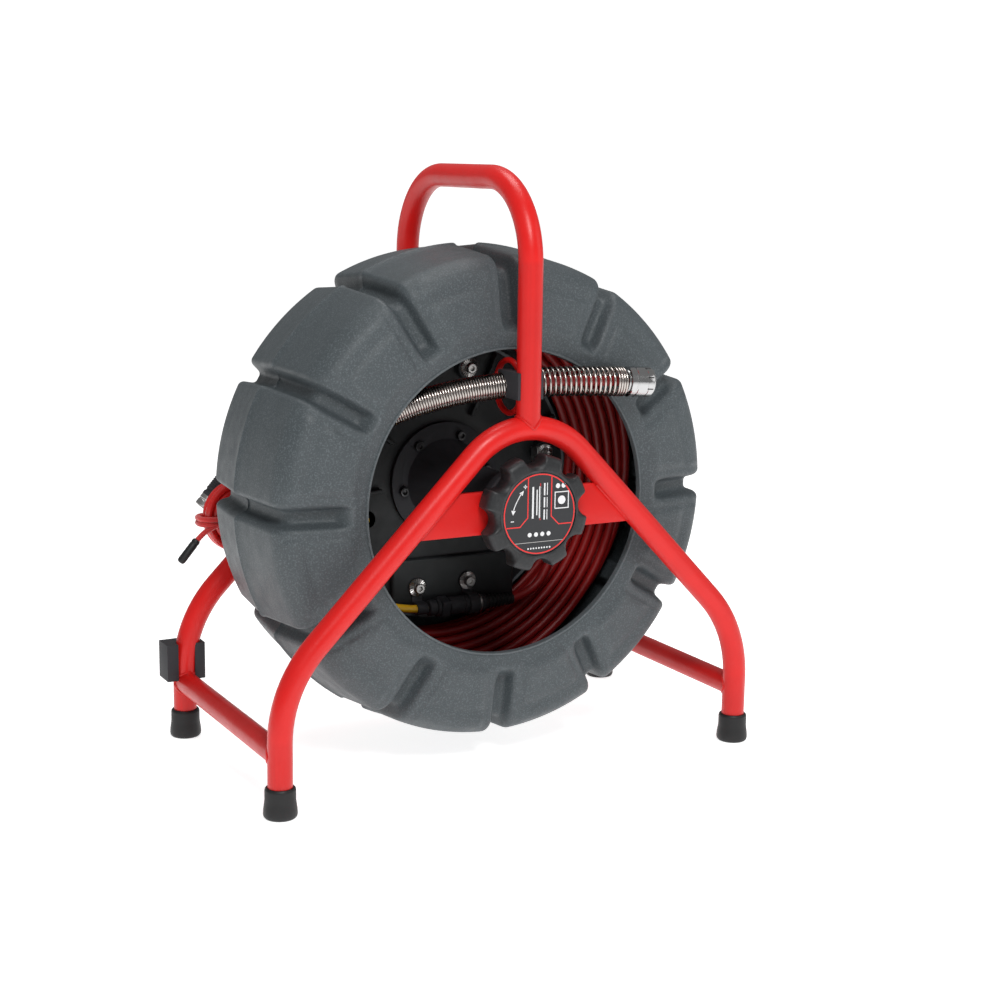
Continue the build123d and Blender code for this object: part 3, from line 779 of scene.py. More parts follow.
# Its much lighter edge colour is a painted highlight along the scallops' edges.
KNOB_BLACK = Moulding("charcoal_knob", "knob_plastic", (0.0105, 0.0112, 0.0122),
                      (0.0155, 0.0165, 0.0178),
                      (0.36, 0.5), grain=1000, strength=0.3, speckle=(0.022, 0.0235, 0.0255),
                      worn=(0.055, 0.058, 0.062))
LABEL_GREY = Moulding("label_charcoal", "knob_label", (0.017, 0.0178, 0.02), (0.02, 0.021, 0.024),
                      (0.35, 0.42), grain=1500, strength=0.05)
LABEL_RED = Moulding("label_red_ink", "knob_label", (0.72, 0.03, 0.028), (0.68, 0.026, 0.024),
                     (0.38, 0.45), grain=1500, strength=0.05)
LABEL_WHITE = Moulding("label_white_ink", "knob_label", (0.72, 0.72, 0.73), (0.66, 0.66, 0.67),
                       (0.38, 0.45), grain=1500, strength=0.05)
PUSH_RED = Jacket("push_cable_jacket", "push_cable", (0.36, 0.006, 0.006), (0.24, 0.004, 0.004),
                  (0.4, 0.52),
                  gloss=0.08)
SYSTEM_RED = Jacket("system_cable_jacket", "system_cable", (0.68, 0.014, 0.011),
                    (0.55, 0.01, 0.009),
                    (0.22, 0.34), gloss=0.4)
TIE_RED = Braid("tie_cord_braid", "tie_cord", (0.66, 0.016, 0.014), (0.5, 0.011, 0.01), (0.55, 0.7))
LEAD_YELLOW = Jacket("yellow_lead_jacket", "inner_lead", (0.86, 0.5, 0.012), (0.78, 0.42, 0.01),
                     (0.3, 0.42))
SPRING_WIRE = Metal("spring_wire", "spring_steel", (0.52, 0.48, 0.45), (0.36, 0.33, 0.31),
                    (0.16, 0.28))
CHROME = Metal("polished_steel", "chrome", (0.52, 0.52, 0.52), (0.42, 0.42, 0.42), (0.1, 0.2))
ZINC = Metal("zinc_plate", "steel", (0.5, 0.49, 0.48), (0.38, 0.37, 0.36), (0.24, 0.4))
BLACK_OXIDE = Metal("black_oxide_steel", "steel", (0.07, 0.07, 0.072), (0.045, 0.045, 0.046),
                    (0.3, 0.45))
BRONZE = Metal("sintered_bronze", "bronze", (0.55, 0.4, 0.2), (0.45, 0.32, 0.16), (0.3, 0.45))
LINING = Moulding("brake_lining", "friction", (0.12, 0.1, 0.085), (0.09, 0.075, 0.06), (0.7, 0.85))
WINDOW = Clear("clear_window", "glass", (0.9, 0.95, 1.0), (0.88, 0.93, 1.0), (0.02, 0.04))
LENS = Moulding("coated_lens", "lens", (0.006, 0.006, 0.014), (0.01, 0.01, 0.03), (0.05, 0.08),
                strength=0.0)
LEDS = Lamp("lamp_ring", "led", (0.85, 0.84, 0.75), (0.75, 0.74, 0.68), (0.25, 0.35))
# Dark patches on the chrome head: painted shade standing in for the open slots of its front rim.
SLOT_PAINTED_SHADE = Moulding("slot_painted_shade", "chrome", (0.006, 0.006, 0.007), (0.01, 0.01, 0.011), (0.4, 0.6))


class Body(Enum):
    """The moving bodies of the frame."""

    STAND = "stand"
    DRUM = "drum"
    BRAKE = "brake"
    KNOB = "knob"


class Assembly:
    """What every sub-assembly does with its finished pieces."""

    body = Body.STAND

    def dress_nodes(self, finish: Finish, *nodes: str) -> None:
        """Give frame nodes their material."""
        for node in nodes:
            piece = bpy.data.objects[node]
            piece.data.materials.clear()
            piece.data.materials.append(finish.make())

    def rounded(self, node: str, suffix: str, width: float, finish: Finish,
                body: Optional[Body] = None, segments: int = 2) -> None:
        """Keep a copy of a frame node with rounded edges.

        Args:
            node: The frame's node.
            suffix: What its new name ends in.
            width: Width of the rounding.
            finish: Its material.
            body: The body it rides on, if it isn't the sub-assembly's own.
            segments: Facets across the rounding.
        """
        piece = Shop.softened(node, f"{node}_{suffix}", width, segments)
        self.keep(Shop.smooth(piece), finish, node, body=body)

    def keep(self, piece: bpy.types.Object, finish: Finish, *nodes: str,
             body: Optional[Body] = None) -> bpy.types.Object:
        """Dress a new piece and put it in the frame.

        Args:
            piece: The finished piece.
            finish: Its material.
            *nodes: The frame nodes that it stands for.
            body: The body it rides on, if it isn't the sub-assembly's own.

        Returns:
            The same piece.
        """
        piece.data.materials.clear()
        piece.data.materials.append(finish.make())
        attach(piece, (body or self.body).value)
        if nodes:
            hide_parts(*nodes)
        log.info("%s made", piece.name)
        return piece


# ------------------------------------------------------------------ stand
@dataclass
class Stand(Assembly):
    """Red tube stand with its plates, feet, hooks and welds."""

    tube_radius: float = 0.012
    bar_radius: float = 0.0115
    bead: float = 0.0016
    bead_points: int = 20

    def build(self) -> None:
        """Dress the tubes and add feet and weld beads."""
        self.dress_nodes(RED_PAINT, "front_arch", "rear_arch", "handle", "left_cross_bar",
                         "right_cross_bar", "guide_ring", "left_hook", "right_hook")
        self.dress_nodes(ZINC, "axle", "axle_washer")
        self.rounded("axle_nut", "worn", 0.0007, ZINC)
        for node in ("front_plate", "rear_plate"):
            self.rounded(node, "softened", 0.0011, RED_PAINT)
        self.feet()
        self.welds()

    def feet(self) -> None:
        """Turn the four rubber feet."""
        for node in ("foot_front_left", "foot_front_right", "foot_rear_left", "foot_rear_right"):
            low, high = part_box(node)
            middle = Vector(((low.x + high.x) / 2, (low.y + high.y) / 2, low.z))
            flare, height = (high.x - low.x) / 2, high.z - low.z
            neck = flare - 0.0015
            outline = [
                (0, 0), (flare - 0.004, 0), (flare - 0.0018, 0.0006), (flare - 0.0004, 0.0022),
                (flare, 0.0045), (flare - 0.0003, 0.009), (neck + 0.0004, 0.0145), (neck, 0.018),
                (neck, height - 0.003), (neck - 0.0004, height - 0.0012), (neck - 0.0016, height),
                (self.tube_radius, height), (self.tube_radius, 0.008), (0, 0.008),
            ]
            foot = Shop.spun(f"{node}_cap", outline, middle, UP, 64)
            self.keep(Shop.smooth(foot), FOOT_BLACK, node)

    def saddle(self, centre: Vector, run: Vector, axis: Vector, radius: float) -> list[Vector]:
        """Give the line where one tube meets another at a right angle.

        Args:
            centre: Where the two centre lines meet.
            run: Direction from there along the tube that ends.
            axis: Direction of the tube that it meets.
            radius: Radius of the tube that ends.

        Returns:
            A closed ring of points.
        """
        run, axis = run.normalized(), axis.normalized()
        side = run.cross(axis).normalized()
        points = []
        for i in range(self.bead_points):
            angle = FULL_TURN * i / self.bead_points
            off, along = math.cos(angle) * radius, math.sin(angle) * radius
            deep = math.sqrt(max(self.tube_radius ** 2 - off * off, 0.0))
            points.append(centre + run * deep + side * off + axis * along)
        return points

    def welds(self) -> None:
        """Lay the weld beads of the cross bars, the handle and the plates."""
        bar = middle_of("left_cross_bar")
        arch_y = -middle_of("front_arch").y
        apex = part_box("front_arch")[1].z - self.tube_radius
        rings = []
        for x in (bar.x, -bar.x):
            for y in (-arch_y, arch_y):
                run = Vector((0, -math.copysign(1, y), 0))
                rings.append(self.saddle(Vector((x, y, bar.z)), run, UP, self.bar_radius + 0.0004))
        for y in (-arch_y, arch_y):
            rings.append(self.saddle(Vector((0, y, apex)), UP, Vector((1, 0, 0)), self.tube_radius))
        beads = [Shop.spline("weld", ring, self.bead, 2, looped=True, fine=3) for ring in rings]
        for node, side in (("front_plate", -1), ("rear_plate", 1)):
            beads += self.plate_beads(node, side)
        self.keep(Shop.smooth(Shop.meshed("weld_beads", *beads)), RED_PAINT)

    def plate_beads(self, node: str, side: int) -> list[bpy.types.Object]:
        """Lay the beads where a plate's ends meet the sloping legs.

        Args:
            node: The plate.
            side: -1 for its front face, 1 for its rear face.

        Returns:
            The two beads as curves.
        """
        low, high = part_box(node)
        y = low.y if side < 0 else high.y
        rise = high.z - low.z - 0.004
        beads = []
        for way in (-1, 1):
            lower = Vector((way * (high.x - 0.001), y, low.z + 0.002))
            upper = lower + Vector((-way * 0.98 * rise, 0, rise))
            line = [lower.lerp(upper, i / 8) for i in range(9)]
            beads.append(Shop.spline("plate_bead", line, self.bead, 2, fine=3))
        return beads


# ------------------------------------------------------------------ drum
@dataclass
class Drum(Assembly):
    """Hollow moulded drum with twelve grooves and a flat web."""

    body = Body.DRUM
    lobes: int = 12
    mouth: float = 0.153
    recess: float = 0.146
    wall: float = 0.005
    face: float = 0.104
    ridge: float = 0.252
    rim: float = 0.242
    shoulder: float = 0.026
    groove_floor: float = 0.0022
    groove_foot: float = 0.0055
    groove_lip: float = 0.0065
    groove_steep: float = 72.0
    funnel: float = 0.0052
    groove_depth: float = 0.015
    groove_start: float = 0.169
    groove_full: float = 0.186
    web_front: float = 0.046
    web_back: float = 0.052
    bore: float = 0.03
    sector_steps: int = 60
    knots: tuple[Pair, ...] = ((0.0, 0.0), (0.04, 0.02), (0.3, 0.125), (0.4, 0.225), (0.5, 0.5))
    land_edge: Pair = (0.0195, 0.0245)
    plateau_rise: float = 0.0028
    bead_rise: float = 0.0018
    ribs: int = 9
    rib_radius: float = 0.111
    pad: tuple[Triple, Triple] = ((-62, 38, 138), (84, 47, 190))
    bolts: tuple[Pair, ...] = ((-0.034, 0.16), (0.026, 0.162), (0.026, 0.3915), (0.119, 0.295))
    stacks: tuple[float, ...] = (0.036, 0.036, 0.038, 0.0365)
    teeth: int = 48
    hub: Vector = field(default_factory=Vector)

    def build(self) -> None:
        """Make the shell and its web."""
        self.hub = Vector((0, 0, middle_of("axle").z))
        self.shell()
        self.web()
        self.washers()
        self.dress_nodes(BLACK_PLASTIC, "slip_ring_rotor")
        self.dress_nodes(BRONZE, "front_bush", "rear_bush")
        self.dress_nodes(SOFT_BLACK, "lead_grommet")

    def skin(self, inset: float, steps: tuple[int, int, int]) -> list[Pair]:
        """Give one face of the wall from the front lip to the rear lip.

        Args:
            inset: Depth of the face under the outside.
            steps: Numbers of chords on the face, the shoulder and the side.

        Returns:
            Points as (radius, y).
        """
        lip = Vector((self.mouth + 0.006, -(self.face + 0.001) + inset))
        corner = Vector((self.rim - inset, -(self.face - 0.015) + inset))
        side = Vector((self.ridge - inset - 0.0016, -0.003))
        face_steps, arc_steps, side_steps = steps
        arc = rounded_corner(lip, corner, side, self.shoulder - inset, arc_steps)
        reach = arc[0] - lip
        half = [lip + reach * (i / face_steps) for i in range(face_steps)]
        half += arc
        half += [arc[-1].lerp(side, i / side_steps) for i in range(1, side_steps + 1)]
        front = [(p.x, p.y) for p in half]
        return front + [(self.ridge - inset, 0.0)] + [(r, -y) for r, y in reversed(front)]

    def section(self) -> tuple[list[Pair], list[float]]:
        """Give the drum's closed section.

        Returns:
            Points as (radius, y), and for each the share of the grooves' depth that it takes:
            positive on the outside, negative on the inside, 0 where it stays.
        """
        mouth, foot, face = self.mouth, self.recess + self.wall, self.face
        outside = self.skin(0.0, (17, 12, 6))
        inside = self.skin(self.wall, (7, 6, 3))
        rim = -face - 0.001 + self.funnel
        lip = [(mouth, rim + 0.005), (mouth, rim), (mouth + 0.0005, rim - 0.0011),
               (mouth + 0.0015, rim - 0.0014), (mouth + 0.0024, rim - 0.0011),
               (mouth + 0.003, rim - 0.0001)]
        web = [(mouth - 0.003, face + 0.0004), (self.recess + 0.0012, face - 0.0002),
               (self.recess, face - 0.0015), (self.recess, 0.075),
               (self.recess, self.web_front + 0.001), (foot - 0.0005, self.web_front + 0.0008),
               (foot, self.web_front + 0.003), (foot, 0.085), (foot + 0.001, face - 0.006)]
        points: list[Pair] = []
        kinds: list[float] = []
        for run, kind in ((lip, 0.0), (outside, 1.0), (web, 0.0), (inside[::-1], -1.0)):
            points += run
            kinds += [kind] * len(run)
        return points, kinds

    def warp(self, share: float) -> float:
        """Crowd the facets of a sector towards its groove.

        Args:
            share: Place in the sector, from -0.5 to 0.5 about the groove.

        Returns:
            The place as a share of the sector after crowding.
        """
        size = abs(share)
        for (low, start), (high, stop) in zip(self.knots, self.knots[1:]):
            if size <= high + 1e-9:
                place = start + (stop - start) * (size - low) / (high - low)
                return math.copysign(place, share)
        return share

    def relief(self, radius: float, off: float, y: float, widen: float) -> float:
        """Give how far the wall is drawn in at a point.

        Args:
            radius: Distance from the hub axis.
            off: Angle from the nearest groove.
            y: Place along the axis.
            widen: Extra half width of the groove, inside the wall.

        Returns:
            Depth in metres, negative where the lobe's face stands out.
        """
        along = radius * math.cos(off)
        across = abs(radius * math.sin(off))
        depth = self.trough(across - widen) * ease(along, self.groove_start, self.groove_full)
        if widen == 0 and abs(y) > 0.05:
            land = ease(across, *self.land_edge)
            plateau = land * ease(radius, 0.169, 0.1745) * (1 - ease(radius, 0.2095, 0.2165))
            bead = land * ease(radius, 0.2165, 0.2235) * (1 - ease(radius, 0.229, 0.24))
            depth -= self.plateau_rise * plateau + self.bead_rise * bead
        if y < -0.05:
            depth += self.funnel * (1 - ease(radius, 0.1555, 0.1725))
        return depth

    def trough(self, across: float) -> float:
        """Give a groove's depth: a flat floor, a hollow foot, a steep wall and a rounded lip.

        Args:
            across: Distance from the groove's middle line.

        Returns:
            Depth in metres.
        """
        steep = math.radians(self.groove_steep)
        foot, lip, floor = self.groove_foot, self.groove_lip, self.groove_floor
        rise = self.groove_depth - (foot + lip) * (1 - math.cos(steep))
        foot_end = floor + foot * math.sin(steep)
        wall_end = foot_end + rise / math.tan(steep)
        lip_end = wall_end + lip * math.sin(steep)
        across = max(across, 0.0)
        if across <= floor:
            return self.groove_depth
        if across <= foot_end:
            return self.groove_depth - foot + math.sqrt(foot ** 2 - (across - floor) ** 2)
        if across <= wall_end:
            fallen = foot * (1 - math.cos(steep))
            return self.groove_depth - fallen - (across - foot_end) * math.tan(steep)
        if across < lip_end:
            return lip - math.sqrt(lip ** 2 - (lip_end - across) ** 2)
        return 0.0

    def shell(self) -> None:
        """Spin the section and press the grooves into it."""
        points, kinds = self.section()
        normals = self.normals(points)
        steps = self.lobes * self.sector_steps
        piece = Shop.spun("drum_body", points, self.hub, steps=steps)
        tree = KDTree(len(points))
        for index, (r, y) in enumerate(points):
            tree.insert((r, y, 0), index)
        tree.balance()
        sector = FULL_TURN / self.lobes
        for vertex in piece.data.vertices:
            spot = vertex.co - self.hub
            radius = math.hypot(spot.x, spot.z)
            _, index, _ = tree.find((radius, spot.y, 0))
            kind, normal = kinds[index], normals[index]
            turn = math.atan2(spot.z, spot.x) / sector
            nearest = round(turn)
            angle = (nearest + self.warp(turn - nearest)) * sector
            off = angle - nearest * sector
            y = spot.y
            if kind:
                depth = self.relief(radius, off, y, 0.0 if kind > 0 else self.wall) * kind
                radius -= normal[0] * depth
                y -= normal[1] * depth
            vertex.co = self.hub + Vector((radius * math.cos(angle), y, radius * math.sin(angle)))
        self.keep(Shop.smooth(piece, 42), DRUM_GREY, "drum_shell")

    def web(self) -> None:
        """Make the web with its ribs, pads and bosses."""
        front, back = self.web_front, self.web_back
        outline = [(self.bore, back), (self.bore, front), (0.1, front),
                   (self.recess - 0.004, front),
                   (self.recess + 0.0012, front + 0.0008), (self.recess + 0.0012, back - 0.001),
                   (self.recess - 0.002, back + 0.0028), (self.recess - 0.005, back), (0.1, back)]
        parts = [Shop.spun("web_disc", outline, self.hub, steps=144)]
        parts.append(Shop.block("web_pad", *mm(*self.pad), 0.003))
        low = self.hub + Vector((0.074, self.pad[0][1] * MM, -0.0022))
        high = self.hub + Vector((0.146, front + 0.001, 0.0022))
        for index in range(self.ribs):
            turn = math.radians(25) + FULL_TURN * index / self.ribs
            middle = self.hub + Vector((math.cos(turn), 0, math.sin(turn))) * self.rib_radius
            if not (-0.082 < middle.x < 0.104 and middle.z < 0.2):
                rib = Shop.block("rib", low, high, 0.001)
                parts.append(Shop.turned_round(rib, -turn, self.hub, AXLE))
        boss = [(0, 0), (0.013, 0), (0.013, -0.007), (0.012, -0.009), (0, -0.009)]
        for x, z in self.bolts[2:]:
            parts.append(Shop.spun("boss", boss, Vector((x, front + 0.001, z)), steps=40))
        whole = Shop.joined("drum_web", parts)
        # The web's material is the drum plastic darkened as painted shade for the inside of the
        # drum.
        self.keep(Shop.smooth(whole, 40), WEB_GREY_PAINTED_SHADE)

    def washers(self) -> None:
        """Make the toothed washers and the bolts with their sockets."""
        ring = [(0.003, 0), (0.003, -0.0018), (0.0058, -0.002), (0.0095, -0.0016),
                (0.01, -0.0008), (0.01, 0)]
        discs, heads = [], []
        for (x, z), front in zip(self.bolts, self.stacks):
            middle = Vector((x, front, z))
            disc = Shop.spun("washer", ring, middle, steps=self.teeth)
            for vertex in disc.data.vertices:
                spot = vertex.co - middle
                if math.hypot(spot.x, spot.z) > 0.0056 and spot.y < -0.0006:
                    step = round(math.atan2(spot.z, spot.x) / FULL_TURN * self.teeth)
                    vertex.co.y += 0.0007 * (step % 2)
            discs.append(disc)
            end = self.web_back + 0.008 - front
            outline = [(0, -0.0048), (0.0026, -0.005), (0.0028, -0.008), (0.0046, -0.008),
                       (0.0053, -0.0073), (0.0055, -0.0065), (0.0055, -0.002), (0.0029, -0.002),
                       (0.0029, end), (0, end)]
            heads.append(Shop.spun("bolt", outline, middle, steps=36))
        self.keep(Shop.smooth(Shop.joined("toothed_washers", discs), 18), ZINC, "web_washers")
        self.keep(Shop.smooth(Shop.joined("socket_bolts", heads)), ZINC, "web_bolts")
        screws = Shop.softened("hub_screws", "hub_screw_heads", 0.0006, 2)
        self.keep(Shop.smooth(screws), BLACK_OXIDE, "hub_screws")
        self.rounded("web_nuts", "worn", 0.0005, ZINC)
        self.rounded("earth_tab", "folded", 0.0004, ZINC)
        self.rounded("drum_hub", "turned", 0.0012, BLACK_PLASTIC)

    @staticmethod
    def normals(points: Sequence[Pair]) -> list[Pair]:
        """Give the outward direction at each point of a closed section that runs clockwise."""
        found = []
        count = len(points)
        for i in range(count):
            before, after = points[i - 1], points[(i + 1) % count]
            run = Vector((after[0] - before[0], after[1] - before[1])).normalized()
            found.append((run.y, -run.x))
        return found


# ------------------------------------------------------------------ push cable
@dataclass
class PushCable(Assembly):
    """Push cable: its winding in the drum, the lead to its termination, and its tail."""

    body = Body.DRUM
    radius: float = 0.005
    spacing: float = 0.0104
    per_turn: int = 18
    section: tuple[Pair, ...] = ((163, 42), (227, 3), (226, 14), (218, 50), (208, 64),
                                 (197, 71), (163, 78))
    rows: int = 12
    row_pitch: float = 0.88
    clearance: float = 0.93
    sway: Pair = (0.0012, 0.0006)
    sway_share: Pair = (0.2, 0.7)
    seed: int = 7

    def build(self) -> None:
        """Wind the cable and lay its tail."""
        self.axis_z = middle_of("axle").z
        self.winding()
        self.tail()

    def slots(self) -> list[Pair]:
        """Give the places of the turns in the winding's section.

        Returns:
            Places as (radius, y) in metres, layer by layer in the order of winding.
        """
        corners = [Vector(p) * MM for p in self.section]
        first, second = corners[0], corners[1]
        along = (second - first).normalized()
        inward = Vector((-along.y, along.x))
        rows: list[list[Vector]] = []
        for row in range(self.rows):
            rise = self.radius + 0.0002 + row * self.spacing * self.row_pitch
            offset = self.radius * 0.9 + (self.spacing / 2 if row % 2 else 0)
            places = [first + inward * rise + along * (offset + i * self.spacing)
                      for i in range(-4, 12)]
            rows.append([p for p in places if self.inside(p, corners)])
        order: list[Pair] = []
        for index, places in enumerate(reversed([r for r in rows if r])):
            order += [(p.x, p.y) for p in (places[::-1] if index % 2 else places)]
        return order

    def inside(self, place: Vector, corners: Sequence[Vector]) -> bool:
        """Tell whether a turn fits inside the winding's section.

        Args:
            place: Middle of the turn.
            corners: Corners of the section.

        Returns:
            True if it clears every side.
        """
        for start, end in zip(corners, [*corners[1:], corners[0]]):
            run = (end - start).normalized()
            reach = (place - start).dot(Vector((-run.y, run.x)))
            if reach < self.radius * self.clearance:
                return False
        return True

    def winding(self) -> None:
        """Wind the lead and the turns as one cable."""
        lead = mm((76, 26, 139), (94, 26, 142.5), (110, 27, 153.5), (121, 28.5, 170),
                  (131, 30.5, 190), (139, 33.5, 212), (146, 37.5, 238), (151, 40.5, 268),
                  (156, 45, 300), (152, 50, 330))
        chance = random.Random(self.seed)
        places = self.slots()
        last = lead[-1] - Vector((0, 0, self.axis_z))
        angle = math.atan2(last.z, last.x)
        grow = 1 / math.cos(math.pi / self.per_turn) ** 0.5
        points = list(lead)
        total = len(places) * self.per_turn
        start = Vector((math.hypot(last.x, last.z), last.y))
        wave = [(chance.uniform(*self.sway_share), chance.uniform(0, FULL_TURN)) for _ in places]
        for i in range(1, total):
            turn, step = divmod(i, self.per_turn)
            here = Vector(places[turn])
            ahead = Vector(places[min(turn + 1, len(places) - 1)])
            share = ease(step / self.per_turn, 0.72, 1.0)
            spot = here.lerp(ahead, share)
            if turn == 0:
                spot = start.lerp(spot, ease(step / self.per_turn, 0.0, 0.5))
            theta = angle + i * FULL_TURN / self.per_turn
            size, phase = wave[turn]
            sway = self.sway[0] * math.sin(2 * theta)
            sway += self.sway[1] * size * math.sin(3 * theta + phase)
            reach = (spot.x + sway) * grow
            points.append(Vector((reach * math.cos(theta), spot.y,
                                  self.axis_z + reach * math.sin(theta))))
        cable = Shop.spline("push_cable_wound", points, self.radius, 2, fine=4)
        track = Track(curve_line(points))
        log.info("push cable: %d turns, %.2f m", len(places), track.length[-1])
        self.keep(cable, PUSH_RED, "push_cable_coil", "push_cable_lead")

    def tail(self) -> None:
        """Lay the free end from the camera through its springs and back into the winding."""
        points = mm(*HEAD_ROUTE, (6, -107, 393.5), *SPRING_ROUTE, (-181, -58, 316),
                    (-198, -49, 276), (-201, -40, 234), (-190, -30, 195), (-168, -20, 162),
                    (-140, -10, 138), (-108, 1, 112), (-72, 13, 92), (-36, 25, 84))
        tail = Shop.spline("push_cable_end", points, self.radius, 2)
        self.keep(tail, PUSH_RED, "push_cable_tail", body=Body.STAND)


# ------------------------------------------------------------------ camera and its springs
@dataclass
class CameraEnd(Assembly):
    """Camera head, its two springs and the joints between them."""

    open_radius: float = 0.0152
    open_wire: float = 0.0013
    open_pitch: float = 0.0052
    tight_pitch: float = 0.00275
    tight_turns: float = 4.2
    close_radius: float = 0.013
    close_wire: float = 0.00128
    close_pitch: float = 0.00262
    facets: int = 20
    head_radius: float = 0.0152
    head_length: float = 0.03
    slots: int = 8

    def build(self) -> None:
        """Make the springs and dress the head."""
        self.springs()
        self.head()
        self.dress_nodes(SPRING_WIRE, "spring_coupling", "spring_ferrule")
        self.dress_nodes(LEDS, "led_ring")
        self.dress_nodes(LENS, "camera_lens")
        self.dress_nodes(WINDOW, "camera_window")

    def head(self) -> None:
        """Turn the head with its grooves, and set dark patches on its front rim as painted shade
        for its slots.
        """
        start, before = mm(*HEAD_ROUTE)
        axis = (start - before).normalized()
        r, length = self.head_radius, self.head_length
        outline = [
            (0, 0), (0.0118, 0), (0.0126, 0.0006), (0.0126, 0.0024), (0.0146, 0.003), (r, 0.0037),
            (r, 0.0085), (r - 0.0005, 0.009), (r - 0.0005, 0.0101), (r, 0.0106), (r, 0.0205),
            (r - 0.0004, 0.0209), (r - 0.0004, 0.0216), (r, 0.022), (r, length - 0.0028),
            (r - 0.0006, length - 0.0013), (r - 0.0016, length - 0.0003), (r - 0.0026, length),
            (0.0118, length), (0.0115, length - 0.0004), (0.0115, length - 0.008),
            (0, length - 0.008),
        ]
        head = Shop.spun("camera_shell", outline, start, axis, 96)
        self.keep(Shop.smooth(head, 30), CHROME, "camera_head")
        side = axis.orthogonal().normalized()
        half = Vector((0.0033, 0.0007, 0))
        slots = []
        for index in range(self.slots):
            out = Matrix.Rotation(FULL_TURN * (index + 0.5) / self.slots, 3, axis) @ side
            slot = Shop.block("slot", -half, half + Vector((0, 0, 0.0012)), 0.0003)
            frame = Matrix((axis, axis.cross(out), out)).transposed().to_4x4()
            place = start + axis * (length - 0.0062) + out * (r - 0.00108)
            slot.data.transform(Matrix.Translation(place) @ frame)
            slots.append(slot)
        # Painted shade: dark patches stand in for the slots' openings.
        self.keep(Shop.joined("camera_slots", slots), SLOT_PAINTED_SHADE)

    def helix(self, name: str, track: Track, radius: float, wire: float,
              pitch: Callable[[float], float]) -> bpy.types.Object:
        """Wind a wire round a track.

        Args:
            name: Name of the spring.
            track: Its centre line.
            radius: Outside radius.
            wire: Radius of the wire.
            pitch: Pitch at each distance along the track.

        Returns:
            The spring.
        """
        points = []
        distance, angle = wire, 0.0
        while distance < track.length[-1] - wire:
            place, _, side, up = track.at(distance)
            arm = radius - wire
            points.append(place + side * arm * math.cos(angle) + up * arm * math.sin(angle))
            angle += FULL_TURN / self.facets
            distance += pitch(distance) / self.facets
        return Shop.meshed(name, Shop.curve(name, "POLY", points, wire, 2))

    def springs(self) -> None:
        """Wind the open and the close-wound spring."""
        open_line = Track(curve_line(mm(*HEAD_ROUTE, (20, -110.3, 394))))
        close_line = Track(curve_line(mm((13, -108.6, 393.8), (-20, -101, 390.5), *SPRING_ROUTE,
                                         (-172, -61, 328))))
        tight = self.tight_turns * 2 * self.open_wire
        spring = self.helix("open_coil_spring", open_line, self.open_radius, self.open_wire,
                            lambda d: self.tight_pitch if d < tight else self.open_pitch)
        self.keep(Shop.smooth(spring, 60), SPRING_WIRE, "open_spring")
        spring = self.helix("close_coil_spring", close_line, self.close_radius, self.close_wire,
                            lambda d: self.close_pitch)
        self.keep(Shop.smooth(spring, 60), SPRING_WIRE, "close_spring")


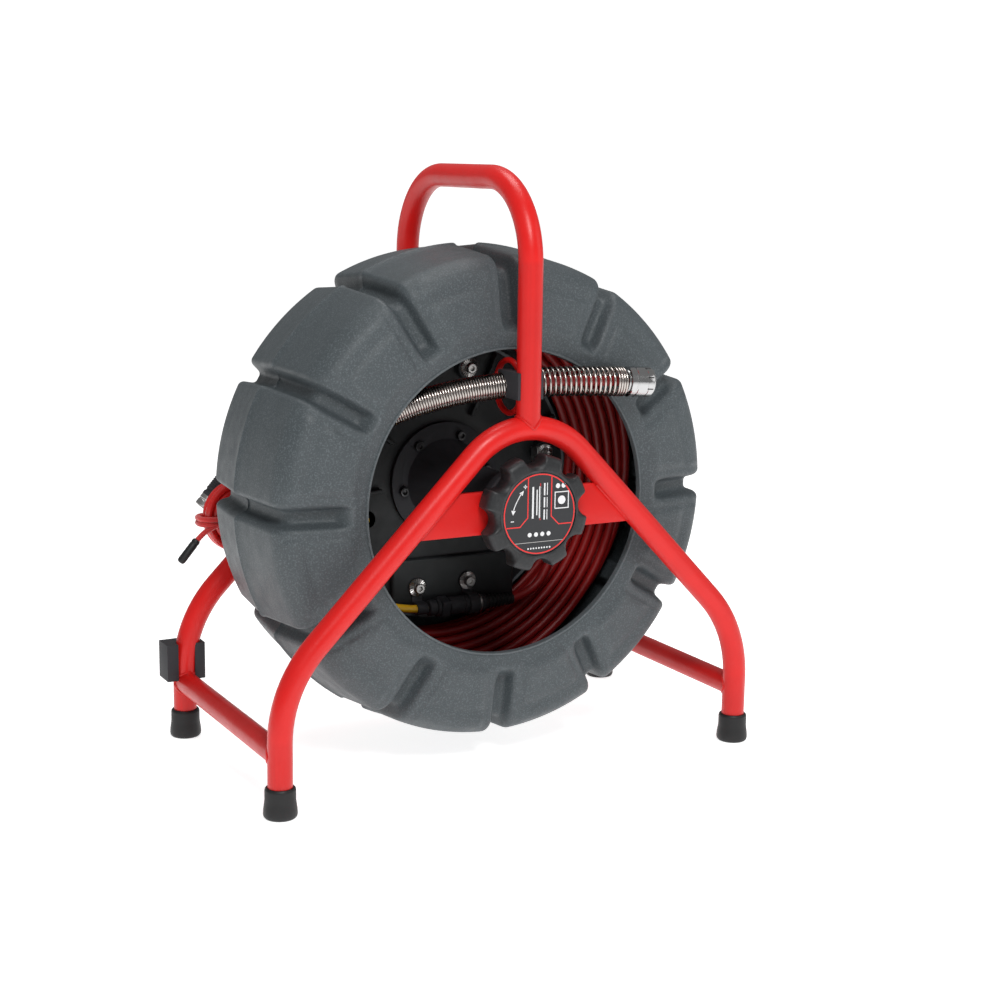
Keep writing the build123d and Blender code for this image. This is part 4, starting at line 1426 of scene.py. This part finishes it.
# ------------------------------------------------------------------ drag knob
@dataclass
class DragKnob(Assembly):
    """Eight-lobed knob with its printed label."""

    body = Body.KNOB
    lobes: int = 8
    sector_steps: int = 48
    rim: float = 0.057
    well: float = 0.0409
    scallop: float = 0.0118
    scallop_at: float = 0.0582
    turned: float = math.radians(5)
    horn_before: float = 0.03
    horn_after: float = 0.05
    ink: Pair = (-0.00016, 0.00005)

    def build(self) -> None:
        """Make the knob and dress the brake behind it."""
        low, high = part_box("drag_knob")
        self.front, self.back = low.y, high.y
        self.middle = Vector((0, 0, (low.z + high.z) / 2))
        self.knob()
        self.label()
        self.dress_nodes(BRONZE, "knob_insert")
        self.dress_nodes(ZINC, "pressure_plate")
        self.dress_nodes(LINING, "friction_disc")

    def reach(self, angle: float) -> float:
        """Give the knob's outline, with rounded horns between its scallops.

        Args:
            angle: Angle about the knob's axis.

        Returns:
            Radius of the outline there.
        """
        pitch = FULL_TURN / self.lobes
        turn = (angle - self.turned) / pitch
        off = abs(turn - round(turn)) * pitch
        rim, at, hollow = self.rim, self.scallop_at, self.scallop
        edge = math.asin(hollow / at)
        start = edge - self.horn_before
        bite = min(off, start)
        inner = at * math.cos(bite) - math.sqrt(hollow ** 2 - (at * math.sin(bite)) ** 2)
        if off < start:
            return min(inner, rim)
        horn = ease(off, start, edge + self.horn_after)
        return inner + (rim - inner) * math.sin(horn * math.pi / 2)

    def knob(self) -> None:
        """Turn the knob and press its scallops into it."""
        front, back, rim = self.front, self.back, self.rim
        depth = back - front
        outline = [
            (0, 0.002), (self.well, 0.002), (self.well, 0.0002), (self.well + 0.0004, 0),
            (self.well + 0.0025, 0), (rim - 0.0065, 0.0004), (rim - 0.004, 0.0012),
            (rim - 0.002, 0.0026), (rim - 0.0006, 0.0046), (rim, 0.0072), (rim, depth - 0.003),
            (rim - 0.0008, depth - 0.0012), (rim - 0.0026, depth), (0.0155, depth),
            (0.014, depth), (0.014, 0.004), (0, 0.004),
        ]
        origin = self.middle + Vector((0, front, 0))
        steps = self.lobes * self.sector_steps
        piece = Shop.spun("knob_body", outline, origin, steps=steps)
        start = self.well + 0.0004
        for vertex in piece.data.vertices:
            spot = vertex.co - origin
            radius = math.hypot(spot.x, spot.z)
            angle = math.atan2(spot.z, spot.x)
            if radius <= start or (spot.y > depth / 2 and radius < 0.02):
                continue
            limit = self.reach(angle)
            edge = rim - radius
            share = ease(radius, start, rim)
            radius -= (rim - limit) * (share if edge > 0.0066 else 1.0)
            vertex.co = origin + Vector((radius * math.cos(angle), spot.y,
                                         radius * math.sin(angle)))
        self.keep(Shop.smooth(piece, 50), KNOB_BLACK, "drag_knob")

    def label(self) -> None:
        """Lay the label disc and its prints."""
        low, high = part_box("knob_label")
        edge, deep = self.well - 0.0005, high.y - low.y - 0.0001
        origin = self.middle + Vector((0, low.y, 0))
        outline = [(0, 0), (edge - 0.0002, 0), (edge, 0.0002), (edge, deep), (0, deep)]
        disc = Shop.spun("label_disc", outline, origin, steps=96)
        self.keep(Shop.smooth(disc), LABEL_GREY, "knob_label")
        front, back = (low.y + depth for depth in self.ink)

        def patch(*corners: Pair) -> bpy.types.Object:
            """Print a patch given in millimetres from the label's centre."""
            outline = [(x * MM, self.middle.z + up * MM) for x, up in corners]
            return Shop.prism("print", outline, front, back)

        def dot(radius: float, x: float, up: float, steps: int) -> bpy.types.Object:
            """Print a round dot."""
            turns = [FULL_TURN * i / steps for i in range(steps)]
            return patch(*[(x + radius * math.cos(t), up + radius * math.sin(t)) for t in turns])

        def line(width: float, *points: Pair) -> bpy.types.Object:
            """Print a line given in millimetres from the label's centre."""
            places = [(x * MM, self.middle.z + up * MM) for x, up in points]
            return Shop.stroke("print", places, width * MM, front, back)

        ring = [(r, depth) for r, depth in zip((0.0382, 0.0394, 0.0394, 0.0382),
                                               (self.ink[0], *self.ink, self.ink[1]))]
        red = [Shop.spun("ring_print", ring, origin, steps=128)]
        red += [line(1.1, (way * 13, 36), (way * 13, -3), (way * 21.5, -11.5),
                     (way * 36.8, -11.5)) for way in (-1, 1)]
        red.append(line(0.6, (0.6, 30), (0.6, -6)))
        self.keep(Shop.joined("label_red_print", red), LABEL_RED)
        arrow = [(-20.5 - 9.2 * math.sin(t * 1.35), 21.5 - 19.5 * t)
                 for t in (0, 0.14, 0.28, 0.42, 0.56, 0.7, 0.85)]
        white = [
            line(0.9, *arrow),
            patch((-17.8, 24.2), (-22.6, 21.8), (-19.1, 19.0)),
            patch((-29.4, 0.8), (-31.3, 5.6), (-26.4, 4.9)),
            line(0.9, (-18.2, 27.6), (-14.2, 27.6)),
            line(0.9, (-16.2, 25.6), (-16.2, 29.6)),
            line(0.9, (-31.6, -5.4), (-28.2, -5.4)),
        ]
        bars = [(1.9, -7.5, -4, 27), (1.2, -3.1, -1, 24), (1.9, 0.1, -4, 27)]
        for bottom, top in ((-6, 4), (6, 16), (18, 30)):
            bars += [(1.5, 5.2, bottom, top), (0.8, 8.2, bottom, top)]
        white += [line(width, (x, bottom), (x, top)) for width, x, bottom, top in bars]
        white.append(line(1.0, (17, 4), (17, 20), (32, 20), (32, 4), (17, 4)))
        dots = [(4.2, 24.5, 12, 32), (2.4, 20, 26.2, 32), (2.4, 26.4, 26.2, 32)]
        dots += [(2.2, x, -20, 24) for x in (-10.5, -3.5, 3.5, 10.5)]
        dots += [(0.9, -12 + 3 * index, -33.5, 12) for index in range(9)]
        white += [dot(*values) for values in dots]
        self.keep(Shop.joined("label_white_print", white), LABEL_WHITE)
        seam = line(0.5, (-27, -27.5), (27, -27.5))
        seam.name = seam.data.name = "seam_print"
        self.keep(seam, ZINC)


# ------------------------------------------------------------------ small fittings
@dataclass
class Fittings(Assembly):
    """Termination, clips and gland."""

    body = Body.DRUM
    gland_exit: Triple = (0.045, 0.156, 0.262)
    flat: float = 0.0087

    def build(self) -> None:
        """Make the termination and soften the small parts."""
        self.termination()
        for node in ("p_clip_left", "p_clip_right"):
            self.rounded(node, "band", 0.0006, BLACK_PLASTIC)
        for node, suffix, width in (("spring_clip", "moulded", 0.0012),
                                    ("leg_clip", "moulded", 0.0035),
                                    ("slip_ring_housing", "turned", 0.0012)):
            self.rounded(node, suffix, width, BLACK_PLASTIC, Body.STAND, 3)
        self.gland()
        self.dress_nodes(LEAD_YELLOW, "inner_lead")

    def gland(self) -> None:
        """Turn the gland's flange and body and its ribbed boot."""
        low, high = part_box("cable_gland")
        x, y, z = self.gland_exit
        length = high.y - low.y
        body = Shop.spun("gland_body", [
            (0, 0), (0.009, 0), (0.009, 0.005), (0.0125, 0.0052), (0.013, 0.0058),
            (0.013, 0.0108), (0.0124, 0.0115), (0.0094, 0.0117), (0.009, 0.0123),
            (0.009, length - 0.0015), (0.0075, length), (0, length),
        ], Vector((x, low.y, z)))
        boot = self.boot("gland_boot", Vector((x, y, z)), Vector((-1, 0, 0)), 0.029, 0.0076,
                         0.0052, 6)
        whole = Shop.joined("gland_with_boot", [body, boot])
        self.keep(Shop.smooth(whole), BLACK_PLASTIC, "cable_gland", body=Body.STAND)

    @staticmethod
    def boot(name: str, start: Vector, axis: Vector, length: float, wide: float, narrow: float,
             ribs: int) -> bpy.types.Object:
        """Turn a tapered strain relief with ribs.

        Args:
            name: Name of the piece.
            start: Centre of its wide end.
            axis: Direction it tapers in.
            length: Its length.
            wide: Radius at the wide end.
            narrow: Radius at the narrow end.
            ribs: Number of grooves between its ribs.

        Returns:
            The boot.
        """
        outline: list[Pair] = [(0, 0), (wide - 0.0004, 0), (wide, 0.0004)]
        step = length / (ribs + 1)
        for index in range(ribs):
            at = step * (index + 0.85)
            here = wide + (narrow - wide) * at / length
            outline += [(here, at - step * 0.22), (here - 0.0009, at - step * 0.12),
                        (here - 0.0011, at), (here - 0.001, at + step * 0.12),
                        (here - 0.0001, at + step * 0.22)]
        outline += [(narrow, length - 0.0006), (narrow - 0.0006, length), (0, length)]
        return Shop.spun(name, outline, start, axis, 40)

    def termination(self) -> None:
        """Turn the termination with its square flat, its bright ring and its ribbed relief."""
        low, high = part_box("termination")
        middle = middle_of("termination")
        start, along = Vector((low.x, middle.y, middle.z)), Vector((1, 0, 0))
        length, flat = high.x - low.x, self.flat
        body = Shop.spun("termination_body", [
            (0, 0), (0.0068, 0), (0.0083, 0.0009), (0.0085, 0.0016), (0.0085, 0.008),
            (0.0079, 0.0086), (0.0079, 0.0094), (0.0098, 0.0099), (0.01, 0.0106), (0.01, 0.0124),
            (0.0094, 0.0132), (0.0078, 0.0136), (0.0078, 0.0246), (0.0092, 0.025),
            (0.0095, 0.0256), (0.0095, 0.0405), (0.0092, 0.0412), (0.0088, 0.0416),
            (0.0088, 0.0424), (0.0095, 0.043), (0.0095, 0.0562), (0.0088, 0.057),
            (0.0084, 0.0572), (0.0084, 0.0628), (0.009, 0.0634), (0.009, length - 0.0006),
            (0.0084, length), (0, length),
        ], start, along, 56)
        nut = Shop.block("termination_flat", start + Vector((0.0138, -flat, -flat)),
                         start + Vector((0.0244, flat, flat)), 0.0012)
        Shop.turned_round(nut, math.radians(12), start, along)
        whole = Shop.joined("termination_sleeve", [body, nut])
        self.keep(Shop.smooth(whole), BLACK_PLASTIC, "termination")
        band = [(0.0083, 0.0574), (0.0094, 0.0574), (0.0096, 0.0579), (0.0096, 0.062),
                (0.0094, 0.0626), (0.0083, 0.0626)]
        self.keep(Shop.smooth(Shop.spun("termination_band", band, start, along, 56)), ZINC)
        relief = self.boot("termination_boot", start + along * length, along, 0.036, 0.0085, 0.006,
                           7)
        self.keep(Shop.smooth(relief), SOFT_BLACK, "termination_relief")


# ------------------------------------------------------------------ system cable
@dataclass
class SystemCable(Assembly):
    """Cable to the monitor: its hank behind the drum, plug and tie."""

    radius: float = 0.004
    left: float = -0.188
    right: float = -0.038
    height: float = 0.229
    rings: tuple[Pair, ...] = ((0.0287, 0.1516), (0.0205, 0.1518), (0.0205, 0.1598),
                               (0.0287, 0.1600), (0.0368, 0.1517), (0.0368, 0.1598))
    slack: float = 0.0008
    arc_steps: int = 6
    pins: int = 6
    tie_radius: float = 0.0029
    seed: int = 11

    def build(self) -> None:
        entry = mm((16, 156, 262), (2, 156, 261.4), (-12, 155.7, 259.8), (-26, 155.4, 259.6))
        leave = mm((-99, 163, 267), (-105, 167, 275), (-110, 170, 286), (-120, 172, 300),
                   (-136, 174, 310), (-155, 175, 309), (-170, 175, 298), (-182, 175, 284))
        points = entry + self.hank() + leave
        cable = Shop.spline("system_cable", points, self.radius, 3, fine=5)
        track = Track(curve_line(points))
        log.info("system cable: %.2f m", track.length[-1])
        self.keep(cable, SYSTEM_RED, "system_cable_entry", "system_cable_hank", "plug_lead")
        self.plug()
        self.tie()

    def plug(self) -> None:
        """Turn the plug: metal shell with pins, ribbed grip and boot."""
        tip, = mm((-223, 175, 237.5))
        axis = Vector((0.66, 0, 0.75)).normalized()
        shell = Shop.spun("plug_shell", [
            (0, 0.009), (0.0072, 0.009), (0.0072, 0.0004), (0.0075, 0), (0.0084, 0),
            (0.0087, 0.0005), (0.0087, 0.006), (0.0082, 0.0066), (0.0082, 0.0076),
            (0.0087, 0.0082), (0.0087, 0.0125), (0, 0.0125),
        ], tip, axis)
        side = axis.orthogonal().normalized() * 0.0044
        places = [tip] + [tip + Matrix.Rotation(FULL_TURN * i / self.pins, 3, axis) @ side
                          for i in range(self.pins)]
        pins = [Shop.rod("pin", p + axis * 0.0089, p + axis * 0.0012, 0.0006, 0.0002)
                for p in places]
        whole = Shop.joined("plug_shell", [shell, *pins])
        self.keep(Shop.smooth(whole), ZINC)
        outline: list[Pair] = [(0, 0.0126), (0.0086, 0.0126), (0.009, 0.0131), (0.009, 0.0168),
                               (0.0081, 0.0172), (0.008, 0.0196), (0.0089, 0.0201)]
        for index in range(7):
            at = 0.0212 + 0.0026 * index
            outline += [(0.009, at), (0.009, at + 0.0012), (0.0084, at + 0.0016),
                        (0.0084, at + 0.0022)]
        outline += [(0.009, 0.0406), (0.0086, 0.0416), (0.0075, 0.042), (0, 0.042)]
        body = Shop.spun("plug_body", outline, tip, axis)
        self.keep(Shop.smooth(body), BLACK_PLASTIC, "system_plug")
        boot = Fittings.boot("plug_boot", tip + axis * 0.042, axis, 0.02, 0.0075, 0.005, 5)
        self.keep(Shop.smooth(boot), SOFT_BLACK, "plug_relief")

    def tie(self) -> None:
        """Lay the tie cord round the hank and cap its hanging end."""
        x0, x1, y0, y1, z = -233.6, -199.9, 142.9, 168.6, 224.0
        thick = self.tie_radius
        ring = mm((x0 + 6, y0, z), (x1 - 6, y0 + 0.2, z - 1), (x1, y0 + 7, z),
                  (x1, y1 - 7, z + 1), (x1 - 6, y1, z + 1), (x0 + 6, y1, z), (x0, y1 - 7, z),
                  (x0, y0 + 7, z))
        above = [p + Vector((0, 0, 0.0055)) for p in ring]
        loops = [Shop.spline("tie_loop", line, thick, looped=True) for line in (ring, above)]
        hanging = mm((-214, y0 + 0.5, z), (-228, y0, 219.5), (-238, y0 + 1, 210.5),
                     (-243.5, y0 + 1, 204.4))
        whole = Shop.meshed("tie_cord_loop", *loops, Shop.spline("tie_tail", hanging, thick))
        self.keep(Shop.smooth(whole, 60), TIE_RED, "hank_tie")
        start, end = mm((-242, y0 + 1, 206), (-259, y0 + 1, 186))
        step = (end - start).normalized()
        cap = Shop.spun("tie_cord_tip", [
            (0, 0), (0.0028, 0), (0.0038, 0.0006), (0.0043, 0.0018), (0.0044, 0.0035),
            (0.0041, 0.0046), (0.0041, 0.0054), (0.0044, 0.0066), (0.0044, 0.026),
            (0.0041, 0.028), (0.0033, 0.0293), (0.0018, 0.0299), (0, 0.03),
        ], start - step * 0.004, step, 32)
        self.keep(Shop.smooth(cap), SOFT_BLACK, "tie_tip")

    def hank(self) -> list[Vector]:
        """Give the points of the hank's turns, from the top run leftwards."""
        chance = random.Random(self.seed)
        points = []
        run = self.right - self.left
        for index, (ring, y) in enumerate(self.rings):
            after = self.rings[min(index + 1, len(self.rings) - 1)]
            loose = chance.uniform(-self.slack, self.slack)
            path: list[Triple] = []
            for from_x, to_x, way in ((self.right, self.left, 1), (self.left, self.right, -1)):
                path += [(from_x - way * run * share, way, 0.0) for share in (0.15, 0.5, 0.85)]
                turns = [math.pi * (way / 2 + i / self.arc_steps)
                         for i in range(self.arc_steps + 1)]
                path += [(to_x, math.sin(angle), math.cos(angle)) for angle in turns]
            for step, (x, up, out) in enumerate(path):
                share = ease(step / len(path), 0.55, 1.0)
                size = ring + (after[0] - ring) * share + loose * (1 - share)
                deep = y + (after[1] - y) * share
                points.append(Vector((x + out * size, deep, self.height + up * size)))
        return points


# ------------------------------------------------------------------ studio
@dataclass
class Studio:
    """Floor, light and camera."""

    place: Triple = (-0.8503, -1.6213, 0.6121)
    yaw: float = 28.9
    pitch: float = 10.92
    roll: float = 0.91
    lens: float = 64.36
    ambient: float = 0.27
    backdrop: float = 1.15
    target: Triple = (0, 0, 0.3)

    def build(self) -> None:
        """Set up the studio."""
        self.floor()
        self.camera()
        self.lights()

    def floor(self) -> None:
        """Lay a plain pale floor."""
        Shop.clear()
        bpy.ops.mesh.primitive_plane_add(size=30, location=(0, 0, 0))
        floor = bpy.context.object
        floor.name = "studio_floor"
        board = Board("studio_floor_paint")
        board.set(Base_Color=(0.9, 0.9, 0.9, 1), Roughness=0.9, Specular_IOR_Level=0.1,
                  Emission_Color=(1, 1, 1, 1), Emission_Strength=0.8)
        floor.data.materials.append(board.material)

    def camera(self) -> None:
        """Place the camera."""
        yaw, pitch, roll = (math.radians(v) for v in (self.yaw, self.pitch, self.roll))
        level = math.cos(pitch)
        forward = Vector((math.sin(yaw) * level, math.cos(yaw) * level, -math.sin(pitch)))
        right = Vector((math.cos(yaw), -math.sin(yaw), 0))
        up = right.cross(forward)
        cos, sin = math.cos(roll), math.sin(roll)
        right, up = right * cos + up * sin, up * cos - right * sin
        data = bpy.data.cameras.new("studio_camera")
        data.lens = self.lens
        data.sensor_width = 36
        camera = bpy.data.objects.new("studio_camera", data)
        bpy.context.scene.collection.objects.link(camera)
        turn = Matrix((right, up, -forward)).transposed().to_4x4()
        camera.matrix_world = Matrix.Translation(self.place) @ turn
        bpy.context.scene.camera = camera

    def lamp(self, name: str, place: Triple, size: float, power: float) -> None:
        """Hang a soft area lamp that points at the studio's target.

        Args:
            name: Name of the lamp.
            place: Where it hangs.
            size: Side of its square.
            power: Power in watts.
        """
        data = bpy.data.lights.new(name, "AREA")
        data.size = size
        data.energy = power
        lamp = bpy.data.objects.new(name, data)
        bpy.context.scene.collection.objects.link(lamp)
        lamp.location = place
        aim = Vector(self.target) - Vector(place)
        lamp.rotation_euler = aim.to_track_quat("-Z", "Y").to_euler()

    def lights(self) -> None:
        """Set a bright surround and three soft lamps."""
        world = bpy.data.worlds.new("studio_world")
        bpy.context.scene.world = world
        world.use_nodes = True
        nodes, links = world.node_tree.nodes, world.node_tree.links
        background = nodes["Background"]
        background.inputs["Color"].default_value = (1, 1, 1, 1)
        path = nodes.new("ShaderNodeLightPath")
        strength = nodes.new("ShaderNodeMapRange")
        links.new(path.outputs["Is Camera Ray"], strength.inputs["Value"])
        strength.inputs["To Min"].default_value = self.ambient
        strength.inputs["To Max"].default_value = self.backdrop
        links.new(strength.outputs["Result"], background.inputs["Strength"])
        self.lamp("key_light", (-0.55, -1.9, 2.1), 0.8, 40)
        self.lamp("top_light", (0.2, 0.4, 2.3), 1.0, 17)
        self.lamp("fill_light", (1.8, -1.2, 1.1), 1.2, 5)
        bpy.context.scene.view_settings.view_transform = "Standard"


def corners(box: Sequence[Vector]) -> list[list[float]]:
    """Give a box as plain lists of numbers."""
    return [[float(v) for v in corner] for corner in box]


def main() -> None:
    """Load the frame, build every sub-assembly and set up the studio."""
    logging.basicConfig(level=logging.INFO, format="%(name)s: %(message)s")
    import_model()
    for part in (Stand(), Drum(), PushCable(), CameraEnd(), DragKnob(), Fittings(), SystemCable()):
        part.build()
        log.info("%s done", type(part).__name__)
    Studio().build()


if __name__ == "__main__":
    main()
